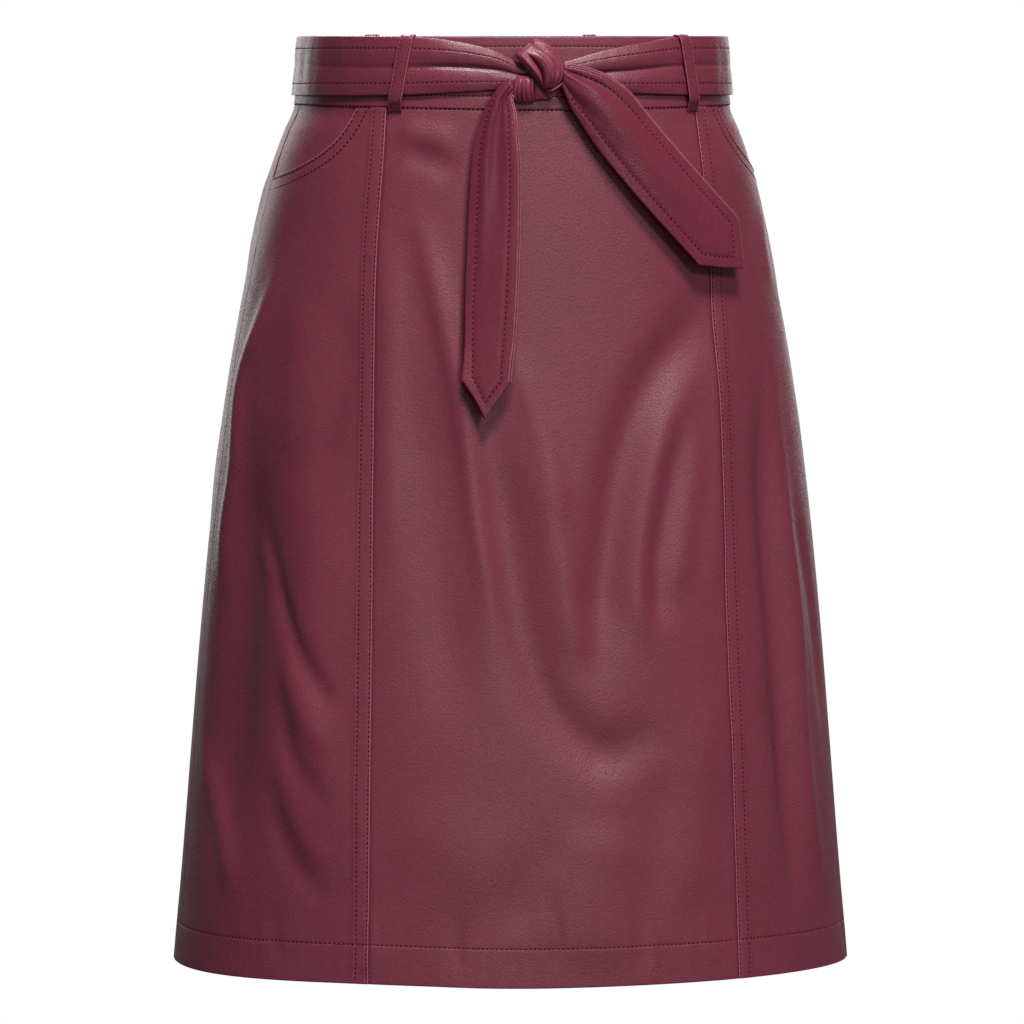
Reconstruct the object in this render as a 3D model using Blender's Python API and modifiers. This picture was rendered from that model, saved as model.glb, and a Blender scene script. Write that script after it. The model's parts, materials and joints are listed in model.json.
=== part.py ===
"""A knee-length leather skirt, filled out and open at waist and hem, with a tie belt.

Metres, +Z up. The front faces -Y and the wearer's left is +X. The origin is the middle of the
waist opening, level with the waistband's top edge. A place on the cloth is given by its turn,
in degrees from the centre front towards the wearer's left, and its drop below the waist.
"""

import math

import bmesh
import bpy
from mathutils import Matrix, Vector

OBJECT_NAME = "leather_skirt"

# Lengths
SKIRT_LENGTH = 0.629
BAND_HEIGHT_FRONT = 0.0485
BAND_HEIGHT_SIDE = 0.0455
LOOP_WIDTH = 0.0095
SEAM_STRIP_WIDTH = 0.0098

# Walls and clearances
LEATHER = 0.0014
BAND_WALL = 0.0024
BELT_WALL = 0.0026
TAIL_WALL = 0.0026
LOOP_WALL = 0.0014
FACING_WALL = 0.0012
GAP = 0.0003
BELT_GAP = 0.0006
FACING_GAP = 0.0006
LOOP_GAP = 0.0005
SLIDER_GAP = 0.0005
BAND_LIFT = 0.0006
SEAM_STRIP_LIFT = 0.0005
SEAM_STEP = 0.0012

# Colours, roughness and metallic value of each finish
FINISHES = {
    "leather": ((0.165, 0.032, 0.052, 1.0), 0.42, 0.0),
    "zip_metal": ((0.30, 0.10, 0.12, 1.0), 0.35, 0.6),
}

# The body's outer surface, ring by ring
SECTION_COLUMNS = ("drop", "half_width", "front_depth", "back_depth", "squareness")
SECTIONS = (
    (0.000, 0.1443, 0.1130, 0.1080, 2.50),
    (0.0485, 0.1497, 0.1150, 0.1140, 2.45),
    (0.064, 0.1552, 0.1160, 0.1175, 2.42),
    (0.091, 0.1638, 0.1177, 0.1230, 2.40),
    (0.132, 0.1742, 0.1197, 0.1310, 2.35),
    (0.187, 0.1853, 0.1227, 0.1370, 2.32),
    (0.241, 0.1945, 0.1260, 0.1395, 2.30),
    (0.323, 0.2050, 0.1315, 0.1420, 2.27),
    (0.405, 0.2132, 0.1375, 0.1445, 2.25),
    (0.486, 0.2200, 0.1430, 0.1475, 2.23),
    (0.568, 0.2268, 0.1480, 0.1505, 2.21),
    (0.629, 0.2325, 0.1515, 0.1530, 2.20),
)

# The princess seams' distance from the centre front
SEAM_COLUMNS = ("drop", "across")
PRINCESS_SEAM = (
    (0.000, 0.1030),
    (0.0485, 0.1053),
    (0.124, 0.1120),
    (0.180, 0.1149),
    (0.400, 0.1209),
    (0.450, 0.1222),
    (0.629, 0.1266),
)

# Soft folds: each runs through three places of the surface, as a ridge or, below nought, a trough
FOLD_COLUMNS = ("turn_a", "drop_a", "turn_b", "drop_b", "turn_c", "drop_c", "width", "height")
FOLDS = (
    (-43, 0.128, -28, 0.192, -7, 0.243, 0.012, 0.0020),
    (-10, 0.232, 3, 0.290, 7, 0.410, 0.011, 0.0026),
    (20, 0.200, 11, 0.260, 5, 0.318, 0.011, 0.0020),
    (42, 0.165, 17, 0.310, 1, 0.455, 0.018, -0.0032),
    (45, 0.192, 26, 0.285, 21, 0.405, 0.013, 0.0026),
    (43, 0.228, 38, 0.305, 30, 0.380, 0.010, 0.0018),
    (32, 0.250, 28, 0.325, 28, 0.400, 0.012, -0.0016),
    (-21, 0.262, -16, 0.370, -3, 0.474, 0.013, 0.0026),
    (-2, 0.472, 17, 0.482, 31, 0.425, 0.012, 0.0020),
    (2, 0.405, 12, 0.458, 25, 0.447, 0.016, -0.0020),
    (-43, 0.150, -33, 0.245, -28, 0.380, 0.018, -0.0024),
    (-68, 0.142, -76, 0.230, -84, 0.352, 0.014, 0.0028),
    (-64, 0.120, -69, 0.235, -70, 0.352, 0.018, -0.0022),
    (-69, 0.238, -66, 0.350, -51, 0.466, 0.013, -0.0024),
    (-65, 0.205, -63, 0.285, -50, 0.378, 0.015, 0.0024),
    (-55, 0.192, -57, 0.240, -57, 0.290, 0.009, -0.0014),
    (-63, 0.415, -59, 0.475, -51, 0.548, 0.012, 0.0024),
    (-60, 0.430, -56, 0.458, -51, 0.488, 0.010, 0.0018),
    (-82, 0.505, -77, 0.550, -72, 0.605, 0.012, 0.0022),
    (59, 0.170, 57, 0.380, 57, 0.600, 0.016, -0.0026),
    (66, 0.205, 66, 0.390, 68, 0.605, 0.014, 0.0028),
    (105, 0.220, 108, 0.400, 110, 0.610, 0.020, 0.0028),
    (130, 0.300, 134, 0.450, 136, 0.615, 0.022, -0.0026),
    (152, 0.260, 155, 0.400, 158, 0.590, 0.018, 0.0020),
    (-106, 0.210, -110, 0.380, -111, 0.600, 0.020, 0.0028),
    (-128, 0.320, -133, 0.460, -138, 0.615, 0.022, -0.0028),
    (-155, 0.240, -152, 0.380, -156, 0.580, 0.018, 0.0020),
)
FOLD_FADE = 0.32
FOLD_STEPS = 8
FOLD_REACH = 2.6

# The hip-pocket mouth: share of the side front's width, and drop below the waist
MOUTH_COLUMNS = ("share", "drop")
POCKET_MOUTH = (
    (0.19, 0.0400),
    (0.27, 0.0590),
    (0.36, 0.0715),
    (0.48, 0.0805),
    (0.62, 0.0870),
    (0.80, 0.0920),
    (1.00, 0.0950),
)
MOUTH_SKEW_LEFT = 0.07
MOUTH_CLEAR = 0.003
FACING_UNDERLAP = 0.012
FACING_RAMP = 0.018

# The belt round the waist, from one side of the knot behind and round to the other
BELT_COLUMNS = ("turn", "drop_top", "drop_foot", "trough")
BELT_ROWS = (
    (-6, 0.0190, 0.0330, 0.0008),
    (-10, 0.0180, 0.0340, 0.0012),
    (-18, 0.0095, 0.0356, 0.0026),
    (-31, 0.0030, 0.0374, 0.0030),
    (-44, 0.0006, 0.0390, 0.0016),
    (-75, 0.0004, 0.0400, 0.0008),
    (-120, 0.0010, 0.0405, 0.0004),
    (-180, 0.0012, 0.0408, 0.0003),
    (-240, 0.0010, 0.0405, 0.0004),
    (-285, 0.0004, 0.0400, 0.0008),
    (-316, 0.0006, 0.0392, 0.0016),
    (-328, 0.0040, 0.0384, 0.0028),
    (-342, 0.0095, 0.0372, 0.0026),
    (-355, 0.0170, 0.0345, 0.0012),
    (-358, 0.0180, 0.0335, 0.0008),
)

# Belt loops: turn at the top and foot
LOOP_COLUMNS = ("name", "turn_top", "turn_foot")
LOOPS = (
    ("belt_loop_front_right", -43.5, -46.5),
    ("belt_loop_front_left", 44.5, 47.5),
    ("belt_loop_back_right", -142.0, -142.0),
    ("belt_loop_back_left", 142.0, 142.0),
)

# A loop's run: its drop below the waist or, with the foot at 1, below the band's foot, and its
# height off the body as a share of the height over the belt with a plain rise added
LOOP_PATH_COLUMNS = ("foot", "drop", "over", "rise")
LOOP_PATH = (
    (0, -0.0019, 0.00, -0.0012),
    (0, -0.0019, 0.00, 0.0016),
    (0, -0.0011, 0.80, 0.0000),
    (0, 0.0030, 1.00, 0.0000),
    (0, 0.0200, 1.00, 0.0000),
    (0, 0.0385, 1.00, 0.0000),
    (0, 0.0430, 0.86, 0.0000),
    (1, -0.0006, 0.60, 0.0000),
    (1, 0.0026, 0.00, 0.0024),
)

# Each tail, section by section down to its corners: where its middle lies, the lie of its run
# from straight down towards the wearer's left, and how far its two edges and middle stand off
TAIL_COLUMNS = ("across", "drop", "half_width", "slant", "lift_right", "lift_left", "crown")
TAIL_RIGHT = (
    (-0.0270, 0.0320, 0.0045, -63, 0.0072, 0.0078, 0.0030),
    (-0.0335, 0.0405, 0.0058, -8, 0.0056, 0.0092, 0.0034),
    (-0.0355, 0.0500, 0.0090, 0, 0.0034, 0.0104, 0.0034),
    (-0.0380, 0.0700, 0.0130, 0, 0.0020, 0.0110, 0.0022),
    (-0.0390, 0.0940, 0.0150, 0, 0.0012, 0.0108, 0.0014),
    (-0.0420, 0.1620, 0.0160, -3, 0.0008, 0.0090, 0.0010),
    (-0.0465, 0.2280, 0.0158, -6, 0.0006, 0.0060, 0.0008),
)
TAIL_LEFT = (
    (0.0070, 0.0270, 0.0070, 82, 0.0078, 0.0084, 0.0016),
    (0.0170, 0.0350, 0.0132, 68, 0.0062, 0.0088, 0.0026),
    (0.0275, 0.0430, 0.0172, 60, 0.0046, 0.0088, 0.0030),
    (0.0380, 0.0535, 0.0196, 52, 0.0032, 0.0082, 0.0032),
    (0.0505, 0.0690, 0.0200, 44, 0.0022, 0.0054, 0.0032),
    (0.0735, 0.0955, 0.0205, 41, 0.0012, 0.0030, 0.0026),
    (0.1130, 0.1380, 0.0212, 43, 0.0008, 0.0014, 0.0016),
)
TAIL_TIP = 0.025

# The knot's two bands, section by section: middle of the section, height above the belt, the
# slant of its run, and where across it the crease of a turned edge lies, with its depth
KNOT_COLUMNS = ("across", "drop", "half_width", "height", "slant", "crease", "crease_depth")
KNOT_OVER = (
    (-0.0180, 0.0056, 0.0066, 0.0046, 36, -0.30, 0.0006),
    (-0.0150, 0.0080, 0.0084, 0.0086, 37, -0.34, 0.0022),
    (-0.0118, 0.0108, 0.0096, 0.0104, 36, -0.40, 0.0032),
    (-0.0052, 0.0168, 0.0104, 0.0114, 28, -0.48, 0.0036),
    (-0.0028, 0.0226, 0.0092, 0.0108, 16, -0.54, 0.0034),
    (-0.0020, 0.0274, 0.0068, 0.0086, 12, -0.56, 0.0024),
    (-0.0038, 0.0322, 0.0034, 0.0048, 12, -0.60, 0.0008),
)
KNOT_UNDER = (
    (-0.0196, 0.0222, 0.0040, 0.0030, 0, 0.10, 0.0002),
    (-0.0190, 0.0256, 0.0054, 0.0066, 2, 0.08, 0.0010),
    (-0.0180, 0.0318, 0.0070, 0.0082, 6, 0.06, 0.0014),
    (-0.0166, 0.0366, 0.0078, 0.0072, 8, 0.04, 0.0012),
    (-0.0156, 0.0402, 0.0070, 0.0034, 8, 0.04, 0.0004),
)
KNOT_SEAT = 0.0053
KNOT_CREASE_WIDTH = 0.15
KNOT_FULLNESS = 0.42
KNOT_FOOT = 0.90
KNOT_EDGE = 0.10

# The zip's slider and pull tab, at the centre back just below the waistband
ZIP_DROP = 0.0545
SLIDER_WIDTH = 0.0056
SLIDER_LENGTH = 0.0084
SLIDER_PLATE = 0.0012
ARCH_INNER = 0.0010
ARCH_OUTER = 0.0020
ARCH_WIDTH = 0.0014
TAB_WIDTH = 0.0060
TAB_LENGTH = 0.0170
TAB_PLATE = 0.0010
TAB_BAR = 0.0010
TAB_SLOT_WIDTH = 0.0024
TAB_SLOT_LENGTH = 0.0030
TAB_TILT = 5.0

# Mesh fineness
FRONT_COLUMNS = 22
MOUTH_STEPS = 2
BACK_COLUMNS = 16
PANEL_ROWS = 20
FACING_ROWS = 4
UNDERLAP_ROWS = 2
RING_STEP = 6
BAND_ROWS = 2
BELT_ACROSS = 6
TAIL_ALONG = 14
TAIL_ACROSS = 6
KNOT_AROUND = 20
KNOT_ALONG = 10
ARCH_STEPS = 8
TAB_STEPS = 10
PROBE = 0.0005
MOST_ACROSS = 0.999
SIDE_TURN = 90.0
BACK_TURN = 180.0
LOOP_OVER_SHARE = 0.25
PROBE_RADIUS = 0.15
HIP_DROP = 0.07
MIDDLE_DROP = 0.30


# Curves through tables


def column_of(rows, columns, name):
    place = columns.index(name)
    return [row[place] for row in rows]


def curve_through(places, values, at):
    """The value at a place on a smooth curve through the given ones, straight past its ends."""
    count = len(places)
    rising = places[-1] > places[0]
    span = 0
    while span < count - 2 and (at > places[span + 1]) == rising and at != places[span + 1]:
        span += 1

    def slope(index):
        before = max(index - 1, 0)
        after = min(index + 1, count - 1)
        return (values[after] - values[before]) / (places[after] - places[before])

    start = places[span]
    width = places[span + 1] - start
    t = min(max((at - start) / width, 0.0), 1.0)
    rise = values[span] * (2 * t**3 - 3 * t**2 + 1) + values[span + 1] * (3 * t**2 - 2 * t**3)
    bend = slope(span) * (t**3 - 2 * t**2 + t) + slope(span + 1) * (t**3 - t**2)
    return rise + bend * width


def read(rows, columns, name, along, at):
    return curve_through(column_of(rows, columns, along), column_of(rows, columns, name), at)


def blend(low, high, share):
    return low + (high - low) * share


def ease(value):
    t = min(max(value, 0.0), 1.0)
    return t * t * (3 - 2 * t)


# The body's surface


def section(drop):
    at = min(max(drop, 0.0), SKIRT_LENGTH)
    return {name: read(SECTIONS, SECTION_COLUMNS, name, "drop", at) for name in SECTION_COLUMNS[1:]}


def fold_paths():
    """Each fold as its width and height with the places that it runs through."""
    paths = []
    for row in FOLDS:
        fold = dict(zip(FOLD_COLUMNS, row))
        places = []
        for step in range(FOLD_STEPS + 1):
            t = step / FOLD_STEPS
            shares = ((1 - t) * (1 - 2 * t), 4 * t * (1 - t), t * (2 * t - 1))
            turn = sum(share * fold["turn_" + end] for share, end in zip(shares, "abc"))
            drop = sum(share * fold["drop_" + end] for share, end in zip(shares, "abc"))
            places.append((turn, drop))
        paths.append((fold["width"], fold["height"], places))
    return paths


FOLD_PATHS = fold_paths()


def fold_height(turn, drop, radius):
    """How far the folds move the surface out at one place."""
    total = 0.0
    for width, height, places in FOLD_PATHS:
        reach = width * FOLD_REACH
        drops = (places[0][1], places[len(places) // 2][1], places[-1][1])
        if not min(drops) - reach < drop < max(drops) + reach:
            continue
        spots = [Vector((math.radians(t - turn) * radius, d - drop)) for t, d in places]
        nearest = reach
        share = 0.0
        for step, (start, end) in enumerate(zip(spots, spots[1:])):
            run = end - start
            along = min(max(-start.dot(run) / run.length_squared, 0.0), 1.0)
            away = (start + run * along).length
            if away < nearest:
                nearest = away
                share = (step + along) / FOLD_STEPS
        if nearest < reach:
            fade = ease(share / FOLD_FADE) * ease((1.0 - share) / FOLD_FADE)
            total += height * fade * math.exp(-((nearest / width) ** 2))
    return total


def radius_at(turn, drop):
    sizes = section(drop)
    angle = math.radians(turn)
    depth = sizes["front_depth"] if math.cos(angle) > 0 else sizes["back_depth"]
    power = sizes["squareness"]
    share = (abs(math.sin(angle)) / sizes["half_width"]) ** power
    share += (abs(math.cos(angle)) / depth) ** power
    return share ** (-1.0 / power)


def body_point(turn, drop):
    angle = math.radians(turn)
    plain = radius_at(turn, drop)
    radius = plain + fold_height(turn, drop, plain)
    return Vector((radius * math.sin(angle), -radius * math.cos(angle), -drop))


def body_frame(turn, drop):
    """A point of the surface with its directions across, down and outward."""
    step = math.degrees(PROBE / PROBE_RADIUS)
    across = body_point(turn + step, drop) - body_point(turn - step, drop)
    down = body_point(turn, drop + PROBE) - body_point(turn, drop - PROBE)
    across.normalize()
    outward = down.cross(across).normalized()
    return body_point(turn, drop), across, outward.cross(across).normalized() * -1.0, outward


def lifted(turn, drop, lift):
    point, _across, _down, outward = body_frame(turn, drop)
    return point + outward * lift


def turn_at(across, drop):
    """The turn at which the front's surface lies this far from the centre front."""
    sizes = section(drop)
    share = min(abs(across) / sizes["half_width"], MOST_ACROSS)
    power = sizes["squareness"]
    depth = sizes["front_depth"] * (1.0 - share**power) ** (1.0 / power)
    return math.degrees(math.atan2(across, depth))


def band_height(turn):
    front = math.cos(math.radians(turn)) ** 2
    return blend(BAND_HEIGHT_SIDE, BAND_HEIGHT_FRONT, front)


def arc_between(start, end, drop, steps=10):
    points = [body_point(blend(start, end, i / steps), drop) for i in range(steps + 1)]
    return sum((b - a).length for a, b in zip(points, points[1:]))


# Meshes


def finish(obj, material, collection):
    obj.data.materials.append(material)
    for other in list(obj.users_collection):
        other.objects.unlink(obj)
    collection.objects.link(obj)
    return obj


def wall(name, rows, thickness, material, collection):
    """A sheet through a grid of outer points, with its thickness laid inward."""
    mesh = bpy.data.meshes.new(name)
    width = len(rows[0])
    vertices = [point for row in rows for point in row]
    faces = []
    for r in range(len(rows) - 1):
        for c in range(width - 1):
            corner = r * width + c
            faces.append((corner, corner + width, corner + width + 1, corner + 1))
    mesh.from_pydata(vertices, [], faces)
    mesh.shade_smooth()
    obj = bpy.data.objects.new(name, mesh)
    collection.objects.link(obj)
    solidify = obj.modifiers.new("thickness", "SOLIDIFY")
    solidify.thickness = thickness
    solidify.offset = -1.0
    solidify.use_even_offset = True
    solidify.use_rim = True
    return finish(obj, material, collection)


def loft(name, rings, material, collection):
    """A closed skin over a run of rings, with its ends capped."""
    mesh = bpy.data.meshes.new(name)
    count = len(rings[0])
    vertices = [point for ring in rings for point in ring]
    faces = []
    for r in range(len(rings) - 1):
        for c in range(count):
            after = (c + 1) % count
            faces.append((r * count + c, r * count + after, (r + 1) * count + after, (r + 1) * count + c))
    faces.append(tuple(reversed(range(count))))
    faces.append(tuple(range((len(rings) - 1) * count, len(rings) * count)))
    mesh.from_pydata(vertices, [], faces)
    tidy = bmesh.new()
    tidy.from_mesh(mesh)
    bmesh.ops.recalc_face_normals(tidy, faces=tidy.faces)
    tidy.to_mesh(mesh)
    tidy.free()
    mesh.shade_smooth()
    obj = bpy.data.objects.new(name, mesh)
    collection.objects.link(obj)
    return finish(obj, material, collection)


# Panels


def seam_turn(side, drop):
    return side * turn_at(read(PRINCESS_SEAM, SEAM_COLUMNS, "across", "drop", drop), drop)


def half_gap(drop):
    return math.degrees(GAP / 2 / radius_at(0.0, drop))


def side_width(drop):
    """The side front's width round the body at one level."""
    return arc_between(seam_turn(1, drop), SIDE_TURN, drop)


def front_panel(material, collection):
    rows = []
    for r in range(PANEL_ROWS + 1):
        row = []
        for c in range(FRONT_COLUMNS + 1):
            share = 2.0 * c / FRONT_COLUMNS - 1.0
            top = band_height(share * seam_turn(1, BAND_HEIGHT_SIDE)) + GAP
            drop = blend(top, SKIRT_LENGTH, r / PANEL_ROWS)
            edge = seam_turn(1, drop) - half_gap(drop)
            row.append(lifted(edge * share, drop, 0.0))
        rows.append(row)
    return wall("front_panel", rows, LEATHER, material, collection)


def mouth_skew(side):
    return MOUTH_SKEW_LEFT if side > 0 else 0.0


def mouth_shares(side):
    """The side front's columns along the pocket mouth: its table's rows and steps between them."""
    places = column_of(POCKET_MOUTH, MOUTH_COLUMNS, "share")
    shares = [places[0]]
    for before, after in zip(places, places[1:]):
        shares += [blend(before, after, (step + 1) / MOUTH_STEPS) for step in range(MOUTH_STEPS)]
    return [1.0 - (1.0 - share) * (1.0 - mouth_skew(side)) for share in shares]


def mouth_drop(side, share):
    """How far down the pocket mouth's edge lies, or nought where there is no mouth."""
    place = 1.0 - (1.0 - share) / (1.0 - mouth_skew(side))
    if place < POCKET_MOUTH[0][0] - PROBE:
        return 0.0
    return read(POCKET_MOUTH, MOUTH_COLUMNS, "drop", "share", place)


def side_turn(side, share, drop):
    """The turn at a share of the way from the princess seam to the side seam."""
    inner = seam_turn(1, drop) + half_gap(drop)
    return side * blend(inner, SIDE_TURN - half_gap(drop), share)


def side_top(side, share):
    """The drop of the waistband's foot above a share of the side front."""
    return band_height(side_turn(side, share, BAND_HEIGHT_SIDE)) + GAP


def side_front(side, name, material, collection):
    strip = SEAM_STRIP_WIDTH / side_width(MIDDLE_DROP)
    step = SEAM_STEP / side_width(MIDDLE_DROP)
    mouth = mouth_shares(side)
    shares = [0.0, strip, strip + step, (strip + step + mouth[0]) / 2, *mouth]
    rows = []
    for r in range(PANEL_ROWS + 1):
        row = []
        for share in shares:
            top = max(side_top(side, share), mouth_drop(side, share))
            drop = blend(top, SKIRT_LENGTH, r / PANEL_ROWS)
            raised = SEAM_STRIP_LIFT if share <= strip else 0.0
            row.append(lifted(side_turn(side, share, drop), drop, raised))
        rows.append(row if side > 0 else row[::-1])
    return wall(name, rows, LEATHER, material, collection)


def pocket_facing(side, name, material, collection):
    """The hip piece behind the pocket mouth, which rises to the side seam's level above it."""
    mouth = mouth_shares(side)
    shares = [mouth[0] - FACING_UNDERLAP / side_width(HIP_DROP), *mouth]
    columns = []
    for share in shares:
        top = side_top(side, share)
        edge = max(mouth_drop(side, share), top)
        clear = max(edge - MOUTH_CLEAR, top)
        drops = [blend(top, clear, r / FACING_ROWS) for r in range(FACING_ROWS + 1)]
        drops += [blend(edge, edge + FACING_UNDERLAP, (r + 1) / UNDERLAP_ROWS) for r in range(UNDERLAP_ROWS)]
        column = []
        for drop in drops:
            lift = blend(-LEATHER - FACING_GAP, -GAP, ease((clear - drop) / FACING_RAMP))
            column.append(lifted(side_turn(side, share, drop), drop, lift))
        columns.append(column)
    rows = [list(row) for row in zip(*columns)]
    rows = [row if side > 0 else row[::-1] for row in rows]
    return wall(name, rows, FACING_WALL, material, collection)


def back_panel(side, name, material, collection):
    rows = []
    for r in range(PANEL_ROWS + 1):
        row = []
        for c in range(BACK_COLUMNS + 1):
            share = c / BACK_COLUMNS
            turn = blend(SIDE_TURN, BACK_TURN, share)
            drop = blend(band_height(turn) + GAP, SKIRT_LENGTH, r / PANEL_ROWS)
            turn = blend(SIDE_TURN + half_gap(drop), BACK_TURN - half_gap(drop), share)
            row.append(lifted(side * turn, drop, 0.0))
        rows.append(row if side > 0 else row[::-1])
    return wall(name, rows, LEATHER, material, collection)


def waistband(material, collection):
    edge = BACK_TURN - half_gap(BAND_HEIGHT_FRONT)
    turns = [-edge, *range(-180 + RING_STEP, 180, RING_STEP), edge]
    rows = []
    for r in range(BAND_ROWS + 1):
        rows.append([lifted(turn, band_height(turn) * r / BAND_ROWS, BAND_LIFT) for turn in turns])
    return wall("waistband", rows, BAND_WALL, material, collection)


# Belt, loops and tails


def belt_size(turn, name):
    wrapped = turn if turn <= BELT_ROWS[0][0] else turn - 360.0
    return read(BELT_ROWS, BELT_COLUMNS, name, "turn", wrapped)


def belt_lift(turn, share):
    """How far the belt's outer face stands off the body at a share of its width."""
    wave = 0.5 - 0.5 * math.cos(4 * math.pi * share)
    return BAND_LIFT + BELT_GAP + BELT_WALL + belt_size(turn, "trough") * wave


def belt_band(material, collection):
    start = BELT_ROWS[-1][0]
    end = BELT_ROWS[0][0]
    turns = [start, *range(-360 + RING_STEP, end, RING_STEP), end]
    rows = []
    for r in range(BELT_ACROSS + 1):
        share = r / BELT_ACROSS
        row = []
        for turn in turns:
            drop = blend(belt_size(turn, "drop_top"), belt_size(turn, "drop_foot"), share)
            row.append(lifted(turn, drop, belt_lift(turn, share)))
        rows.append(row)
    return wall("belt_band", rows, BELT_WALL, material, collection)


def belt_loop(name, turn_top, turn_foot, material, collection):
    """A strip turned over the band's top edge, down over the belt and in below the band."""
    over = belt_lift(turn_top, LOOP_OVER_SHARE) + LOOP_GAP + LOOP_WALL
    foot = band_height(turn_foot)
    rows = []
    for row_of_path in LOOP_PATH:
        spot = dict(zip(LOOP_PATH_COLUMNS, row_of_path))
        drop = spot["drop"] + foot * spot["foot"]
        lift = spot["rise"] + over * spot["over"]
        turn = blend(turn_top, turn_foot, drop / foot)
        middle, across, _down, outward = body_frame(turn, max(drop, 0.0))
        middle.z = -drop
        row = []
        for edge in (-0.5, 0.0, 0.5):
            row.append(middle + across * LOOP_WIDTH * edge + outward * lift)
        rows.append(row)
    return wall(name, rows, LOOP_WALL, material, collection)


def run_lengths(sections, columns):
    """How far along its run each section lies, from 0 to 1, and the run's length."""
    places = [0.0]
    across = columns.index("across")
    drop = columns.index("drop")
    for before, after in zip(sections, sections[1:]):
        places.append(places[-1] + math.hypot(after[across] - before[across], after[drop] - before[drop]))
    return [place / places[-1] for place in places], places[-1]


def size_along(sections, columns, places, at):
    sizes = {}
    for index, name in enumerate(columns):
        sizes[name] = curve_through(places, [row[index] for row in sections], at)
    return sizes


def tail(name, sections, material, collection):
    """A belt end that hangs from the knot to a point, its edges and middle standing off."""
    places, length = run_lengths(sections, TAIL_COLUMNS)
    rows = []
    for r in range(TAIL_ALONG + 1):
        row = []
        for c in range(TAIL_ACROSS + 1):
            u = 2.0 * c / TAIL_ACROSS - 1.0
            at = r / TAIL_ALONG * (1.0 + TAIL_TIP * (1.0 - abs(u)) / length)
            sizes = size_along(sections, TAIL_COLUMNS, places, min(at, 1.0))
            slant = math.radians(sizes["slant"])
            past = max(at - 1.0, 0.0) * length
            across = sizes["across"] + u * sizes["half_width"] * math.cos(slant) + past * math.sin(slant)
            drop = sizes["drop"] - u * sizes["half_width"] * math.sin(slant) + past * math.cos(slant)
            lift = blend(sizes["lift_right"], sizes["lift_left"], (u + 1.0) / 2.0)
            lift += sizes["crown"] * (1.0 - u * u) + TAIL_WALL
            row.append(lifted(turn_at(across, drop), drop, lift))
        rows.append(row)
    return wall(name, rows, TAIL_WALL, material, collection)


def knot_ring(sizes):
    """One section of a knot band: a creased crown with a flat foot on the belt."""
    slant = math.radians(sizes["slant"])
    turn = turn_at(sizes["across"], sizes["drop"])
    middle, across, down, outward = body_frame(turn, sizes["drop"])
    side = across * math.cos(slant) - down * math.sin(slant)
    places = []
    for c in range(KNOT_AROUND + 1):
        share = math.cos(math.pi * c / KNOT_AROUND)
        crown = sizes["height"] * (1.0 - share * share) ** KNOT_FULLNESS
        crease = math.exp(-(((share - sizes["crease"]) / KNOT_CREASE_WIDTH) ** 2))
        places.append((share, max(crown, sizes["height"] * KNOT_EDGE) - sizes["crease_depth"] * crease))
    places += [(-KNOT_FOOT, 0.0), (KNOT_FOOT, 0.0)]
    ring = []
    for share, height in places:
        ring.append(middle + side * sizes["half_width"] * share + outward * (KNOT_SEAT + height))
    return ring


def knot_band(name, sections, material, collection):
    places, _length = run_lengths(sections, KNOT_COLUMNS)
    rings = []
    for r in range(KNOT_ALONG + 1):
        rings.append(knot_ring(size_along(sections, KNOT_COLUMNS, places, r / KNOT_ALONG)))
    return loft(name, rings, material, collection)


# Zip


def zip_frame(lift):
    """The place and axes of the zip's pieces: across, along the back, outward."""
    point, across, down, outward = body_frame(BACK_TURN, ZIP_DROP)
    axes = Matrix((across, -down, outward)).transposed().to_4x4()
    return Matrix.Translation(point + outward * lift) @ axes


def block(name, low, high):
    """A rectangular block between two corners."""
    mesh = bpy.data.meshes.new(name)
    shape = bmesh.new()
    bmesh.ops.create_cube(shape, size=1.0)
    middle = (Vector(low) + Vector(high)) / 2
    size = Vector(high) - Vector(low)
    bmesh.ops.scale(shape, vec=size, verts=shape.verts)
    bmesh.ops.translate(shape, vec=middle, verts=shape.verts)
    shape.to_mesh(mesh)
    shape.free()
    return bpy.data.objects.new(name, mesh)


def add_boolean(obj, other, operation):
    other.hide_render = True
    other.display_type = "WIRE"
    other.matrix_world = obj.matrix_world
    boolean = obj.modifiers.new(operation.lower(), "BOOLEAN")
    boolean.operation = operation
    boolean.object = other


def axis_lift():
    return SLIDER_GAP + SLIDER_PLATE + ARCH_INNER


def arch_rings():
    """The four corners of the slider's arch, from one foot in the plate round to the other."""
    foot = -ARCH_INNER - SLIDER_PLATE / 2
    rings = []
    for step in range(ARCH_STEPS + 1):
        angle = math.pi * step / ARCH_STEPS
        ring = []
        for radius, edge in ((ARCH_INNER, -0.5), (ARCH_INNER, 0.5), (ARCH_OUTER, 0.5), (ARCH_OUTER, -0.5)):
            height = radius * math.sin(angle) if 0 < step < ARCH_STEPS else foot
            ring.append(Vector((ARCH_WIDTH * edge, radius * math.cos(angle), height)))
        rings.append(ring)
    return rings


def zip_slider(material, collection, cutters):
    """A plate on the closed zip, with an arch that carries the pull tab."""
    low = (-SLIDER_WIDTH / 2, -SLIDER_LENGTH / 2, -ARCH_INNER - SLIDER_PLATE)
    high = (SLIDER_WIDTH / 2, SLIDER_LENGTH / 2, -ARCH_INNER)
    plate = block("zip_slider", low, high)
    collection.objects.link(plate)
    plate.matrix_world = zip_frame(axis_lift())
    arch = loft("zip_arch", arch_rings(), material, cutters)
    add_boolean(plate, arch, "UNION")
    return finish(plate, material, collection)


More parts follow.
